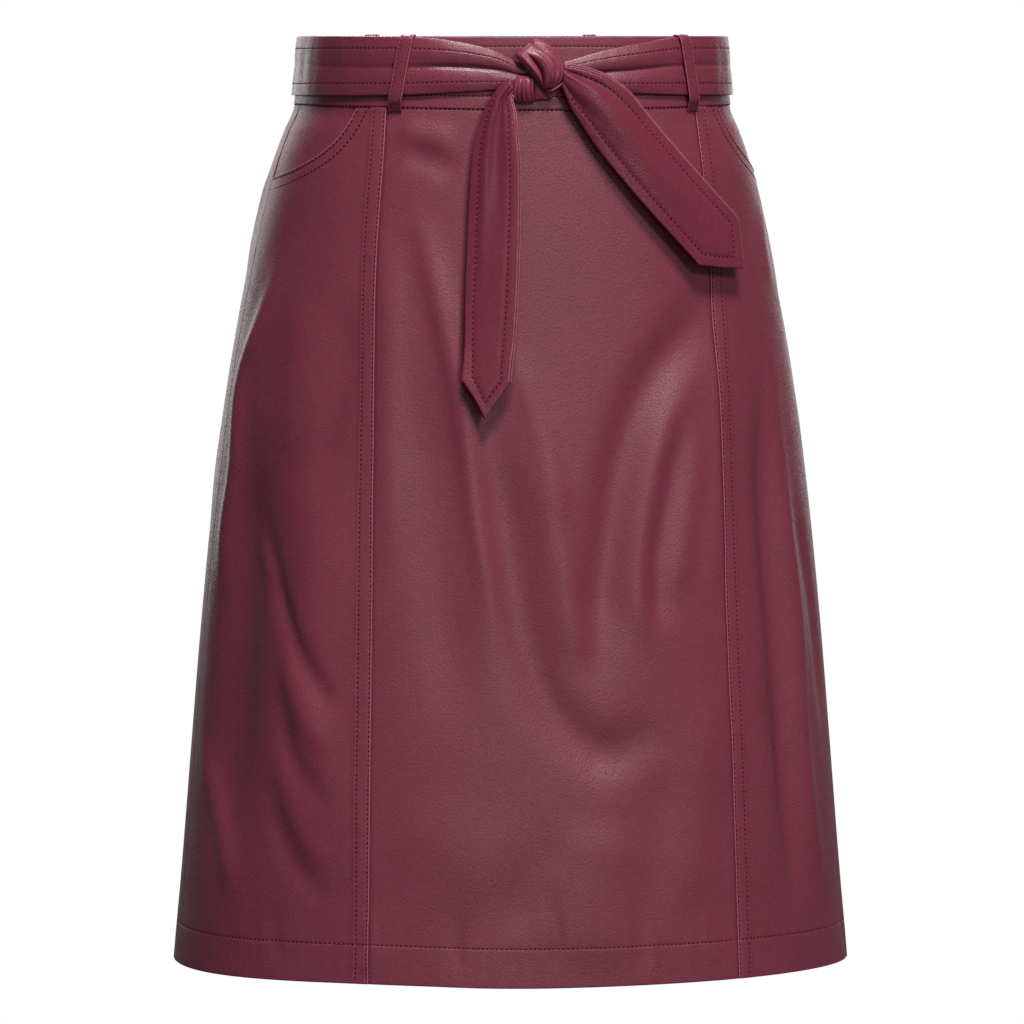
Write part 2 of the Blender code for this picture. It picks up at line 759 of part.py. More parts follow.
def zip_tab(material, collection):
    """A drop-shaped tab whose top bar lies under the slider's arch, on the joint's axis."""
    curve = bpy.data.curves.new("zip_tab", "CURVE")
    curve.dimensions = "2D"
    curve.fill_mode = "BOTH"
    curve.extrude = TAB_PLATE / 2
    half_top = TAB_SLOT_WIDTH / 2 + TAB_BAR
    half_foot = TAB_WIDTH / 2
    foot = TAB_BAR / 2 - TAB_LENGTH + half_foot
    outline = [(half_top, TAB_BAR / 2), (-half_top, TAB_BAR / 2)]
    for step in range(TAB_STEPS + 1):
        angle = math.pi + math.pi * step / TAB_STEPS
        outline.append((half_foot * math.cos(angle), foot + half_foot * math.sin(angle)))
    spline = curve.splines.new("POLY")
    spline.points.add(len(outline) - 1)
    for point, (x, y) in zip(spline.points, outline):
        point.co = (x, y, 0.0, 1.0)
    spline.use_cyclic_u = True
    slot = curve.splines.new("POLY")
    slot.points.add(3)
    slot_top = -TAB_BAR / 2
    slot_foot = slot_top - TAB_SLOT_LENGTH
    half_slot = TAB_SLOT_WIDTH / 2
    corners = ((-half_slot, slot_top), (half_slot, slot_top), (half_slot, slot_foot), (-half_slot, slot_foot))
    for point, (x, y) in zip(slot.points, corners):
        point.co = (x, y, 0.0, 1.0)
    slot.use_cyclic_u = True
    tab = bpy.data.objects.new("zip_tab", curve)
    collection.objects.link(tab)
    tab.matrix_world = zip_frame(axis_lift()) @ Matrix.Rotation(math.radians(TAB_TILT), 4, "X")
    return finish(tab, material, collection)


# Assembly


def make_material(name):
    colour, roughness, metallic = FINISHES[name]
    material = bpy.data.materials.new(name)
    material.use_nodes = True
    material.diffuse_color = colour
    shader = material.node_tree.nodes["Principled BSDF"]
    shader.inputs["Base Color"].default_value = colour
    shader.inputs["Roughness"].default_value = roughness
    shader.inputs["Metallic"].default_value = metallic
    return material


def main():
    for obj in list(bpy.data.objects):
        bpy.data.objects.remove(obj, do_unlink=True)
    collection = bpy.data.collections.new(OBJECT_NAME)
    cutters = bpy.data.collections.new("cutters")
    bpy.context.scene.collection.children.link(collection)
    bpy.context.scene.collection.children.link(cutters)
    leather = make_material("leather")
    zip_metal = make_material("zip_metal")
    front_panel(leather, collection)
    for side, word in ((-1, "right"), (1, "left")):
        side_front(side, "side_front_" + word, leather, collection)
        pocket_facing(side, "pocket_facing_" + word, leather, collection)
        back_panel(side, "back_" + word, leather, collection)
    waistband(leather, collection)
    belt_band(leather, collection)
    for row in LOOPS:
        loop = dict(zip(LOOP_COLUMNS, row))
        belt_loop(loop["name"], loop["turn_top"], loop["turn_foot"], leather, collection)
    tail("tail_right", TAIL_RIGHT, leather, collection)
    tail("tail_left", TAIL_LEFT, leather, collection)
    knot_band("knot_over", KNOT_OVER, leather, collection)
    knot_band("knot_under", KNOT_UNDER, leather, collection)
    zip_slider(zip_metal, collection, cutters)
    zip_tab(zip_metal, collection)


main()
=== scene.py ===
# Wine leather skirt: cloth, belt, knot, stitching and finish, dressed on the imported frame.
import json
import math

import bpy
import numpy as np
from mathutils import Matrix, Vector

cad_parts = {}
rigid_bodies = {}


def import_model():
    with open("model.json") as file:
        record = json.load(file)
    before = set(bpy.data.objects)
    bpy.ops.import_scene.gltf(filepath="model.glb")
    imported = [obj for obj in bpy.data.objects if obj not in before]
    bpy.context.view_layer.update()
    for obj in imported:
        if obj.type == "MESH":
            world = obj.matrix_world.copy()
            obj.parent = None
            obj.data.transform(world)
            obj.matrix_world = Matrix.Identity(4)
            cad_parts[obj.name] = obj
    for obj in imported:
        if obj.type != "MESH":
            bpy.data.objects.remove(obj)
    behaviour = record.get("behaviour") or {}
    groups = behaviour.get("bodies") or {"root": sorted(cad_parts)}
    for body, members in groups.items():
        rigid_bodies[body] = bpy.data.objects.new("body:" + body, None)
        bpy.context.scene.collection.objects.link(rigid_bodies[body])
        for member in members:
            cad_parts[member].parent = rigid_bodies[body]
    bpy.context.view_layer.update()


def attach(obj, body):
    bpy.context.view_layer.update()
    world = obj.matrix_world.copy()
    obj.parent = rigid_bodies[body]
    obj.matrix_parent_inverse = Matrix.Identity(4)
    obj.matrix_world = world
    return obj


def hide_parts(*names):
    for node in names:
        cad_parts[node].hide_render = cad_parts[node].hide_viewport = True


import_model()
print("frame loaded")

mm = 0.001
sides = ((-1, "right"), (1, "left"))

# the body of the skirt, as a surface of turns and drops
# turn: degrees from the centre front towards the wearer's left; drop: metres below the waist

skirt = {
    "length": 0.629,
    "bandFront": 0.0485,
    "bandSide": 0.0455,
    "seamGap": 0.01 * mm,       # half the gap at a plain seam
    "leather": 0.65 * mm,
    "probe": 0.5 * mm,
    "radii": (0.10, 0.15),      # less than the body's least radius, and a usual one
}

sectionNames = ("drop", "halfWidth", "frontDepth", "backDepth", "squareness")
sections = np.array((
    (0.000, 0.1418, 0.1130, 0.1080, 2.50),
    (0.0485, 0.1472, 0.1150, 0.1140, 2.45),
    (0.064, 0.1540, 0.1160, 0.1175, 2.42),
    (0.091, 0.1638, 0.1177, 0.1230, 2.40),
    (0.132, 0.1742, 0.1197, 0.1310, 2.35),
    (0.187, 0.1853, 0.1227, 0.1370, 2.32),
    (0.241, 0.1945, 0.1260, 0.1395, 2.30),
    (0.323, 0.2050, 0.1315, 0.1420, 2.27),
    (0.405, 0.2132, 0.1375, 0.1445, 2.25),
    (0.486, 0.2200, 0.1430, 0.1475, 2.23),
    (0.568, 0.2268, 0.1480, 0.1505, 2.21),
    (0.629, 0.2325, 0.1515, 0.1530, 2.20),
))

# drop, then how far the princess seams lie from the centre front
princessSeam = np.array((
    (0.000, 0.1030), (0.0485, 0.1053), (0.124, 0.1120), (0.180, 0.1149),
    (0.400, 0.1209), (0.450, 0.1222), (0.629, 0.1266),
))

# soft folds: width and height in mm, a trough below nought, then turn and drop at the places it runs through
folds = [
    # the swag that hangs from the hips across the front, and the lines beside it
    (8, 3.2, ((-43, 0.099), (-37, 0.135), (-32, 0.181), (-28, 0.227), (-25, 0.267), (-22, 0.319),
              (-18, 0.372), (-15, 0.415))),
    (20, -3.8, ((-37, 0.194), (-35, 0.254), (-33, 0.306), (-31, 0.359), (-28, 0.420), (-27, 0.480))),
    (9, 2.6, ((-46, 0.102), (-45, 0.175), (-44, 0.241), (-43, 0.306), (-43, 0.372))),
    (16, -4.8, ((-22, 0.208), (-18, 0.267), (-14, 0.326), (-10, 0.385), (-3, 0.438), (11, 0.473),
              (23, 0.465), (30, 0.444))),
    (13, 2.6, ((-9, 0.241), (-3, 0.300), (2, 0.353), (6, 0.395), (10, 0.420))),
    (15, -5.4, ((52, 0.140), (43, 0.188), (30, 0.229), (21, 0.278), (15, 0.347), (12, 0.400), (11, 0.450))),
    (10, 2.6, ((45, 0.210), (32, 0.262), (25, 0.321), (23, 0.374), (27, 0.411))),
    (8, -2.5, ((38, 0.243), (35, 0.289), (30, 0.338), (29, 0.375), (32, 0.396))),
    (9, 1.6, ((42, 0.243), (39, 0.296), (35, 0.349), (31, 0.375))),
    (9, 1.8, ((48, 0.197), (47, 0.257), (45, 0.323), (42, 0.389))),
    (9, 1.6, ((-14, 0.195), (-7, 0.241), (0, 0.290), (4, 0.333))),
    # low on the front
    (30, 2.2, ((-42, 0.515), (-32, 0.532), (-22, 0.545), (-10, 0.560))),
    (38, 2.2, ((10, 0.515), (8, 0.560), (5, 0.628))),
    (14, -1.6, ((2, 0.515), (-4, 0.543), (-9, 0.572), (-13, 0.600))),
    (18, -1.6, ((29, 0.480), (26, 0.513), (24, 0.552), (23, 0.600))),
    (18, 2.0, ((41, 0.430), (38, 0.490), (35, 0.545), (34, 0.590))),
    # the right side, where the cloth falls from the hip in deep lines
    (10, 5, ((-72, 0.131), (-77, 0.187), (-82, 0.231), (-81, 0.284), (-83, 0.338), (-82, 0.391))),
    (26, -9, ((-73, 0.243), (-75, 0.310), (-75, 0.376), (-75, 0.442), (-75, 0.509), (-74, 0.574))),
    (20, 4.5, ((-58, 0.261), (-58, 0.320), (-57, 0.386), (-56, 0.451), (-54, 0.517), (-52, 0.582))),
    (14, 2.0, ((-64, 0.165), (-65, 0.222), (-63, 0.290))),
    (10, -1.8, ((-55, 0.165), (-55, 0.221), (-57, 0.268), (-60, 0.310))),
    (7, -2.8, ((-72, 0.309), (-66, 0.363), (-61, 0.400), (-55, 0.432), (-51, 0.452))),
    (8, 1.8, ((-64, 0.400), (-60, 0.436), (-56, 0.459), (-51, 0.481))),
    (7, -1.7, ((-65, 0.420), (-61, 0.472), (-56, 0.497), (-50, 0.524))),
    (8, 1.7, ((-65, 0.463), (-60, 0.509), (-56, 0.535), (-50, 0.558))),
    (7, -1.3, ((-66, 0.493), (-61, 0.538), (-56, 0.563), (-51, 0.577))),
    (9, 2.6, ((-87, 0.460), (-80, 0.510), (-74, 0.548), (-71, 0.580))),
    # the left side
    (13, -8, ((62, 0.198), (61, 0.265), (60, 0.339), (60, 0.406), (60, 0.473), (60, 0.547), (59, 0.604))),
    (9, 4, ((66, 0.192), (64, 0.246), (64, 0.313), (65, 0.394), (64, 0.475), (66, 0.549), (69, 0.584))),
    (8, -2.4, ((68, 0.300), (71, 0.355), (73, 0.417), (73, 0.492))),
    # the back
    (20, 5.4, ((105, 0.220), (108, 0.400), (110, 0.610))),
    (22, -5.1, ((130, 0.300), (134, 0.450), (136, 0.615))),
    (18, 3.9, ((152, 0.260), (155, 0.400), (158, 0.590))),
    (20, 5.4, ((-106, 0.210), (-110, 0.380), (-111, 0.600))),
    (22, -5.4, ((-128, 0.320), (-133, 0.460), (-138, 0.615))),
    (18, 3.9, ((-155, 0.240), (-152, 0.380), (-156, 0.580))),
]
# finer creases, only in the cloth itself
creases = [
    (9, 1.8, ((-46, 0.057), (-38, 0.066), (-28, 0.069))),
    (9, -1.8, ((-44, 0.074), (-36, 0.082), (-27, 0.090))),
    (6, -1, ((-4, 0.560), (-1, 0.590), (-2, 0.622))),
    (5, -0.9, ((-24, 0.575), (-26, 0.596), (-25, 0.624))),
    (6, -0.8, ((19, 0.572), (21, 0.600), (20, 0.624))),
    (5, 0.8, ((36, 0.580), (37, 0.602), (39, 0.622))),
    (4, 0.8, ((-44, 0.582), (-43, 0.604), (-45, 0.624))),
    (5, -0.9, ((-61, 0.578), (-62, 0.598), (-60, 0.620))),
    (6, 0.9, ((-74, 0.330), (-70, 0.352), (-64, 0.366))),
    (8, 1.2, ((74, 0.110), (70, 0.140), (71, 0.176))),
    (9, -1.2, ((82, 0.150), (79, 0.200), (80, 0.262))),
    (5, -0.9, ((77, 0.590), (76, 0.606), (78, 0.622))),
    (9, 1.4, ((98, 0.090), (101, 0.130), (99, 0.190))),
    (8, 1.4, ((-97, 0.085), (-101, 0.120), (-103, 0.168))),
    (6, -1, ((118, 0.560), (119, 0.590), (117, 0.622))),
    (5, 0.9, ((146, 0.575), (145, 0.600), (147, 0.624))),
    (6, -0.9, ((-121, 0.565), (-120, 0.596), (-122, 0.622))),
    (5, 0.8, ((-148, 0.570), (-150, 0.600), (-149, 0.624))),
    (10, 1.5, ((168, 0.120), (160, 0.150), (149, 0.158))),
    (11, 1.5, ((-170, 0.128), (-161, 0.166), (-148, 0.176))),
    (10, -1.4, ((171, 0.180), (165, 0.230), (166, 0.290))),
    (11, -1.4, ((-172, 0.300), (-169, 0.350), (-171, 0.420))),
]
foldShape = {"fade": 0.30, "steps": 4, "reach": 2.6}


def through(places, values, at):
    # a smooth curve through a table's values, held past its ends
    places, values = np.asarray(places, float), np.asarray(values, float)
    if places[-1] < places[0]:
        places, values = places[::-1], values[::-1]
    slopes = np.empty_like(values)
    slopes[1:-1] = (values[2:] - values[:-2]) / (places[2:] - places[:-2])
    slopes[0] = (values[1] - values[0]) / (places[1] - places[0])
    slopes[-1] = (values[-1] - values[-2]) / (places[-1] - places[-2])
    span = np.clip(np.searchsorted(places, at, side="right") - 1, 0, len(places) - 2)
    width = places[span + 1] - places[span]
    t = np.clip((at - places[span]) / width, 0.0, 1.0)
    level = values[span] * (2 * t**3 - 3 * t**2 + 1) + values[span + 1] * (3 * t**2 - 2 * t**3)
    return level + (slopes[span] * (t**3 - 2 * t**2 + t) + slopes[span + 1] * (t**3 - t**2)) * width


def between(low, high, share):
    return low + (high - low) * share


def ease(value):
    t = np.clip(value, 0.0, 1.0)
    return t * t * (3 - 2 * t)


def bump(distance, width):
    return np.exp(-((distance / width) ** 2))


def sectionAt(drop):
    at = np.clip(drop, 0.0, skirt["length"])
    return {name: through(sections[:, 0], sections[:, i], at) for i, name in enumerate(sectionNames) if i}


def foldRuns():
    runs = []
    for width, height, places in folds + creases:
        knots = np.arange(len(places))
        at = np.linspace(0, len(places) - 1, foldShape["steps"] * (len(places) - 1) + 1)
        turns, drops = [through(knots, column, at) for column in np.array(places, float).T]
        runs.append((width * mm, height * mm, turns, drops))
    return runs


allFolds = foldRuns()


def foldHeight(turn, drop, radius):
    # how far the folds push the cloth out
    total = np.zeros_like(turn)
    for width, height, turns, drops in allFolds:
        reach = width * foldShape["reach"]
        close = (drop > drops.min() - reach) & (drop < drops.max() + reach)
        spread = np.degrees(reach / skirt["radii"][0])
        close &= (turn > turns.min() - spread) & (turn < turns.max() + spread)
        if not close.any():
            continue
        across = np.radians(turns[:, None] - turn[close]) * radius[close]
        down = drops[:, None] - drop[close]
        nearest = np.full(across.shape[1], reach)
        share = np.zeros(across.shape[1])
        for step in range(len(turns) - 1):
            runA, runD = across[step + 1] - across[step], down[step + 1] - down[step]
            along = -(across[step] * runA + down[step] * runD) / (runA**2 + runD**2)
            along = np.clip(along, 0.0, 1.0)
            away = np.hypot(across[step] + runA * along, down[step] + runD * along)
            better = away < nearest
            nearest = np.where(better, away, nearest)
            share = np.where(better, (step + along) / (len(turns) - 1), share)
        fade = ease(share / foldShape["fade"]) * ease((1 - share) / foldShape["fade"])
        total[close] += np.where(nearest < reach, height * fade * bump(nearest, width), 0.0)
    return total


def radiusAt(turn, drop):
    sizes = sectionAt(drop)
    angle = np.radians(turn)
    depth = np.where(np.cos(angle) > 0, sizes["frontDepth"], sizes["backDepth"])
    power = sizes["squareness"]
    share = (np.abs(np.sin(angle)) / sizes["halfWidth"]) ** power
    share += (np.abs(np.cos(angle)) / depth) ** power
    return share ** (-1.0 / power)


def bodyPoint(turn, drop):
    turn, drop = np.broadcast_arrays(np.asarray(turn, float), np.asarray(drop, float))
    angle = np.radians(turn)
    plain = radiusAt(turn, drop)
    wrapped = (turn + 180.0) % 360.0 - 180.0
    radius = plain + foldHeight(wrapped, drop, plain)
    return np.stack((radius * np.sin(angle), -radius * np.cos(angle), -drop), -1)


def unit(vectors):
    return vectors / np.maximum(np.linalg.norm(vectors, axis=-1, keepdims=True), 1e-12)


def bodyFrame(turn, drop):
    # points of the surface with their directions across, down and outward
    probe = skirt["probe"]
    step = math.degrees(probe / skirt["radii"][1])
    across = unit(bodyPoint(turn + step, drop) - bodyPoint(turn - step, drop))
    down = bodyPoint(turn, drop + probe) - bodyPoint(turn, drop - probe)
    outward = unit(np.cross(down, across))
    return bodyPoint(turn, drop), across, -unit(np.cross(outward, across)), outward


def lifted(turn, drop, lift):
    point, _, _, outward = bodyFrame(turn, drop)
    return point + outward * np.asarray(lift)[..., None]


def turnAt(across, drop):
    # the turn at which the front lies this far from its centre
    sizes = sectionAt(drop)
    share = np.minimum(np.abs(across) / sizes["halfWidth"], 0.999)
    power = sizes["squareness"]
    depth = sizes["frontDepth"] * (1.0 - share**power) ** (1.0 / power)
    return np.degrees(np.arctan2(across, depth))


def bandHeight(turn):
    return between(skirt["bandSide"], skirt["bandFront"], np.cos(np.radians(turn)) ** 2)


def seamTurn(drop):
    return turnAt(through(princessSeam[:, 0], princessSeam[:, 1], drop), drop)


class Value:
    # a node's output; sums and products of it add Math nodes
    def __init__(self, tree, socket):
        self.tree, self.socket = tree, socket

    def node(self, kind, settings=None, sockets=None, output=0):
        # any node: its settings first, then its sockets' values or links
        made = self.tree.nodes.new(kind)
        for name, value in (settings or {}).items():
            if name == "stops":
                ramp = made.color_ramp
                for place, colour in value[2:]:
                    ramp.elements.new(place).color = (*colour, 1)
                for element, (place, colour) in zip((ramp.elements[0], ramp.elements[-1]), value[:2]):
                    element.position, element.color = place, (*colour, 1)
            else:
                setattr(made, name, value)
        for name, value in (sockets or {}).items():
            if isinstance(value, Value):
                self.tree.links.new(value.socket, made.inputs[name])
            else:
                made.inputs[name].default_value = value
        return Value(self.tree, made.outputs[output])

    def maths(self, operation, *parts):
        return self.node("ShaderNodeMath", {"operation": operation}, dict(enumerate(parts)))

    def __add__(self, other):
        return self.maths("ADD", self, other)

    def __radd__(self, other):
        return self.maths("ADD", other, self)

    def __sub__(self, other):
        return self.maths("SUBTRACT", self, other)

    def __rsub__(self, other):
        return self.maths("SUBTRACT", other, self)

    def __mul__(self, other):
        return self.maths("MULTIPLY", self, other)

    def within(self, low, high):
        # 0 below low, 1 above high, smooth between
        return self.node("ShaderNodeMapRange", {"interpolation_type": "SMOOTHSTEP"},
                         {"Value": self, "From Min": low, "From Max": high})

    def mixed(self, first, second):
        # colours, by this value
        first, second = [c if isinstance(c, Value) else (*c, 1) for c in (first, second)]
        return self.node("ShaderNodeMix", {"data_type": "RGBA"}, {0: self, 6: first, 7: second}, 2)


class Finish(Value):
    # a material with one Principled shader
    def __init__(self, name, **sockets):
        self.material = bpy.data.materials.new(name)
        self.material.use_nodes = True
        self.tree = self.material.node_tree
        self.shader = self.tree.nodes["Principled BSDF"]
        self.put(**sockets)

    def put(self, **sockets):
        for name, value in sockets.items():
            socket = self.shader.inputs[name.replace("_", " ")]
            if isinstance(value, Value):
                self.tree.links.new(value.socket, socket)
            else:
                socket.default_value = (*value, 1) if isinstance(value, tuple) and len(value) == 3 else value

    def places(self):
        return self.node("ShaderNodeTexCoord", output=3)

    def noise(self, size, detail, output=0):
        # size in metres; output 1 is its colour
        sockets = {"Vector": self.places(), "Scale": 1 / size, "Detail": detail}
        return self.node("ShaderNodeTexNoise", {}, sockets, output)

    def cells(self, size, at=None):
        return self.node("ShaderNodeTexVoronoi", {}, {"Vector": at or self.places(), "Scale": 1 / size})

    def raised(self, height, distance):
        return self.node("ShaderNodeBump", {}, {"Height": height, "Distance": distance})

    def attribute(self, name):
        return self.node("ShaderNodeAttribute", {"attribute_name": name}, output=2)


leatherLook = {
    "deep": (0.098, 0.0120, 0.0250),
    "base": (0.150, 0.0215, 0.0430),
    "light": (0.166, 0.0250, 0.0490),
    "worn": (0.300, 0.085, 0.125),      # folded edges, painted pale as a highlight
    "grain": 1.45 * mm,
    "grainDepth": 0.10 * mm,
    "pore": 0.60 * mm,
    "poreShare": 0.16,
    "steep": 1.5,                       # how fast a pebble falls from its middle
    "valley": (0.36, 0.74),             # distances from that middle between which its valley begins
    "warp": (3 * mm, 0.9 * mm),         # size and reach of the grain's unevenness
    "patch": 9 * mm,                    # places of flatter grain, and how much flatter
    "patchShare": 0.38,
    "tone": 70 * mm,
    "fine": 4.5 * mm,
    "uneven": 6 * mm,
    "deepShares": (0.22, 0.34),         # of the deep colour, in fine spots and in valleys
    "rough": 0.42,
    "roughSpread": 0.10,
    "gloss": 0.42,
}
# two tones of each, and the colour of its dips, the painted shade of its holes, or its scuffs
trimLook = {
    "backing": ((0.062, 0.012, 0.020), (0.088, 0.018, 0.028), (0.04, 0.008, 0.012)),
    "thread": ((0.235, 0.0140, 0.0440), (0.320, 0.0240, 0.0680), (0.012, 0.001, 0.003)),
    "lacquer": ((0.150, 0.020, 0.038), (0.200, 0.034, 0.056), (0.30, 0.16, 0.15)),
}


def leatherFinish(name, shade=1.0, rough=leatherLook["rough"], gloss=leatherLook["gloss"]):
    look = leatherLook
    base, light, deep = [tuple(c * shade for c in look[tone]) for tone in ("base", "light", "deep")]
    finish = Finish(name, Specular_IOR_Level=gloss)
    size, reach = look["warp"]
    warp = finish.node("ShaderNodeVectorMath", {"operation": "SCALE"},
                       {0: finish.noise(size, 1, 1), "Scale": reach})
    at = finish.node("ShaderNodeVectorMath", {"operation": "ADD"}, {0: finish.places(), 1: warp})
    pebble, pore = finish.cells(look["grain"], at), finish.cells(look["pore"], at)
    valley = pebble.within(*look["valley"])
    patch = (1 - look["patchShare"]) + finish.noise(look["patch"], 3).within(0.36, 0.66) * look["patchShare"]
    height = (1 - pebble * pebble * look["steep"]) * patch + (1 - pore) * look["poreShare"]
    tone = finish.noise(look["tone"], 3).within(0.2, 0.8)
    fine = finish.noise(look["fine"], 3).within(0.3, 0.7)
    uneven = finish.noise(look["uneven"], 2) - 0.5
    colour = tone.mixed(base, light)
    for place, share in zip((fine, valley), look["deepShares"]):
        colour = (place * share).mixed(colour, deep)
    # painted highlight: a vertex attribute mixes the pale colour in along edges, where they would catch the
    # light
    worn = finish.attribute("worn") * (0.6 + fine * 0.4)
    finish.put(Base_Color=worn.mixed(colour, look["worn"]),
               Roughness=rough + valley * look["roughSpread"] + uneven * look["roughSpread"],
               Normal=finish.raised(height, look["grainDepth"]))
    return finish.material


def backingFinish():
    # the cloth's inner side: a matte knit backing
    finish, (dark, pale, dip) = Finish("backing", Roughness=0.9, Specular_IOR_Level=0.2), trimLook["backing"]
    weave = finish.cells(0.8 * mm)
    colour = finish.noise(20 * mm, 3).within(0.3, 0.7).mixed(dark, pale)
    finish.put(Base_Color=(weave * 0.5).mixed(colour, dip), Normal=finish.raised(weave, 0.15 * mm))
    return finish.material


def threadFinish():
    # "tuck" is 0 on top of a stitch and 1 where it goes into the leather, where it is painted near-black as
    # the shade in the stitch hole
    finish, (dark, pale, hole) = Finish("thread", Roughness=0.7, Specular_IOR_Level=0.15), trimLook["thread"]
    sunk = finish.attribute("tuck").within(0.45, 0.95)
    twist = finish.noise(0.35 * mm, 2).within(0.35, 0.65)
    finish.put(Base_Color=sunk.mixed(twist.mixed(dark, pale), hole), Normal=finish.raised(twist, 0.05 * mm))
    return finish.material


def lacquerFinish():
    # the zip's metal, lacquered to match
    finish = Finish("lacquer", Metallic=0.35, Coat_Weight=0.4, Coat_Roughness=0.2)
    dark, pale, scuff = trimLook["lacquer"]
    speck = finish.noise(1.2 * mm, 3).within(0.3, 0.7)
    rubbed = finish.noise(2.5 * mm, 2).within(0.62, 0.74) * 0.35
    finish.put(Base_Color=rubbed.mixed(speck.mixed(dark, pale), scuff), Roughness=0.32 + speck * 0.1,
               Normal=finish.raised(speck, 0.02 * mm))
    return finish.material


leather = leatherFinish("leather")
strapLeather = leatherFinish("strap_leather", 0.98, 0.35)
# painted shade and painted highlight: the tails take a darker copy of the leather and the knot a lighter one,
# for how the light falls on them
tailShadedLeather = leatherFinish("tail_leather", 0.88, 0.27, 0.26)
knotLitLeather = leatherFinish("knot_leather", 1.26, 0.36)
backing = backingFinish()
thread = threadFinish()
lacquer = lacquerFinish()
print("finishes made")


def makePiece(name, points, faces, finishes, slots=None):
    mesh = bpy.data.meshes.new(name)
    mesh.from_pydata(points.reshape(-1, 3).tolist(), [], faces if isinstance(faces, list) else faces.tolist())
    for finish in finishes:
        mesh.materials.append(finish)
    if slots is not None:
        mesh.polygons.foreach_set("material_index", slots)
    mesh.shade_smooth()
    piece = bpy.data.objects.new(name, mesh)
    bpy.context.scene.collection.objects.link(piece)
    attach(piece, "skirt")
    return piece


def gridFaces(rows, columns, start=0, wrapColumns=False):
    r = np.arange(rows - 1)
    c = np.arange(columns if wrapColumns else columns - 1)
    r, c = [a.ravel() for a in np.meshgrid(r, c, indexing="ij")]
    below, beside = r + 1, (c + 1) % columns
    return start + np.stack((r * columns + c, below * columns + c,
                             below * columns + beside, r * columns + beside), -1)


def mark(piece, name, amounts):
    # an attribute of the first vertices, nought on the others
    spread = np.zeros(len(piece.data.vertices))
    spread[:len(amounts)] = amounts
    piece.data.attributes.new(name, "FLOAT", "POINT").data.foreach_set("value", spread)


def tube(name, rings):
    # a closed tube through rings of points
    count, sides = rings.shape[:2]
    caps = [list(range(sides)), list(range(count * sides - 1, (count - 1) * sides - 1, -1))]
    return makePiece(name, rings, gridFaces(count, sides, wrapColumns=True).tolist() + caps, (leather,))


def cloth(name, outer, inner):
    # a closed wall between an outer and an inner grid of points, its rim leather as the outer
    rows, columns = outer.shape[:2]
    count = rows * columns
    top = gridFaces(rows, columns)
    under = gridFaces(rows, columns, count)[:, ::-1]
    edge = np.concatenate((
        np.arange(columns), np.arange(1, rows) * columns + columns - 1,
        (rows - 1) * columns + np.arange(columns - 2, -1, -1), np.arange(rows - 2, 0, -1) * columns))
    after = np.roll(edge, -1)
    rim = np.stack((edge, after, after + count, edge + count), -1)
    slots = np.repeat((0, 1, 0), (len(top), len(under), len(rim)))
    points = np.concatenate((outer.reshape(-1, 3), inner.reshape(-1, 3)))
    return makePiece(name, points, np.concatenate((top, under, rim)), (leather, backing), slots)


# how the hem hangs out of level: turn, and how far below the plain length it ends
hemDips = np.array((
    (-180, -1.0), (-110, -3.4), (-75, -3.8), (-50, -4.2), (-34, -3.0), (-18, -1.0), (0, 0.0), (60, 0.4),
    (85, 1.0), (130, 0.4), (180, -1.0),
)) * (1, mm)


stripGrid = {"past": 3 * mm, "drops": 128, "shares": 101, "turns": 121}


class Strip:
    # the cloth between two turns, measured across in metres at every drop
    def __init__(self, start, end, side=1):
        self.side = side
        self.drops = np.linspace(0.0, skirt["length"] + stripGrid["past"], stripGrid["drops"])
        self.shares = np.linspace(0, 1, stripGrid["shares"])
        spread = np.linspace(0, 1, stripGrid["turns"])
        turns = between(start(self.drops)[:, None], end(self.drops)[:, None], spread)
        angle = np.radians(turns)
        radius = radiusAt(turns, np.broadcast_to(self.drops[:, None], turns.shape))
        steps = np.hypot(np.diff(radius * np.sin(angle), axis=1), np.diff(radius * np.cos(angle), axis=1))
        along = np.concatenate((np.zeros((len(steps), 1)), np.cumsum(steps, 1)), 1)
        self.wide = along[:, -1]
        self.turns = np.stack([np.interp(self.shares, a / a[-1], t) for a, t in zip(along, turns)])

    def width(self, drop):
        return np.interp(drop, self.drops, self.wide)

    def turn(self, distance, drop):
        share = distance / self.width(drop) * (len(self.shares) - 1)
        row = np.clip(drop / self.drops[-1], 0, 1) * (len(self.drops) - 1)
        r = np.clip(np.floor(row).astype(int), 0, len(self.drops) - 2)
        c = np.clip(np.floor(share).astype(int), 0, len(self.shares) - 2)
        t, s = row - r, share - c
        low = between(self.turns[r, c], self.turns[r, c + 1], s)
        high = between(self.turns[r + 1, c], self.turns[r + 1, c + 1], s)
        return between(low, high, t)

    def at(self, distance, drop, lift):
        distance, drop, lift = np.broadcast_arrays(distance, drop, lift)
        turn = self.side * self.turn(distance, drop)
        points = lifted(turn, drop, lift)
        points[..., 2] -= through(hemDips[:, 0], hemDips[:, 1], turn) * ease(drop / skirt["length"] * 2 - 1)
        return points


thick = skirt["leather"]
panelLook = {
    "rows": 112,
    "bend": 0.35,              # how much closer the rows lie at the top
    "hemRow": 26 * mm,
    "hemMarks": np.array((21, 17, 13, 9.5, 6.5, 4.2, 2.6)) * mm,
    "turnedUp": np.array((13, 18, 23, 28)) * mm,
    "turnedLift": (-1.40 * mm, -0.78 * mm),
    "lapRows": (1.4 * mm, 8.9 * mm),
    "lapPucker": 0.10 * mm,
    "hemPucker": 0.16 * mm,
    "seamPucker": 0.12 * mm,
    "field": (3.9 * mm, 2.1 * mm, 13.8 * mm),   # where it starts beside a dipping, a turned and a lapped edge
}

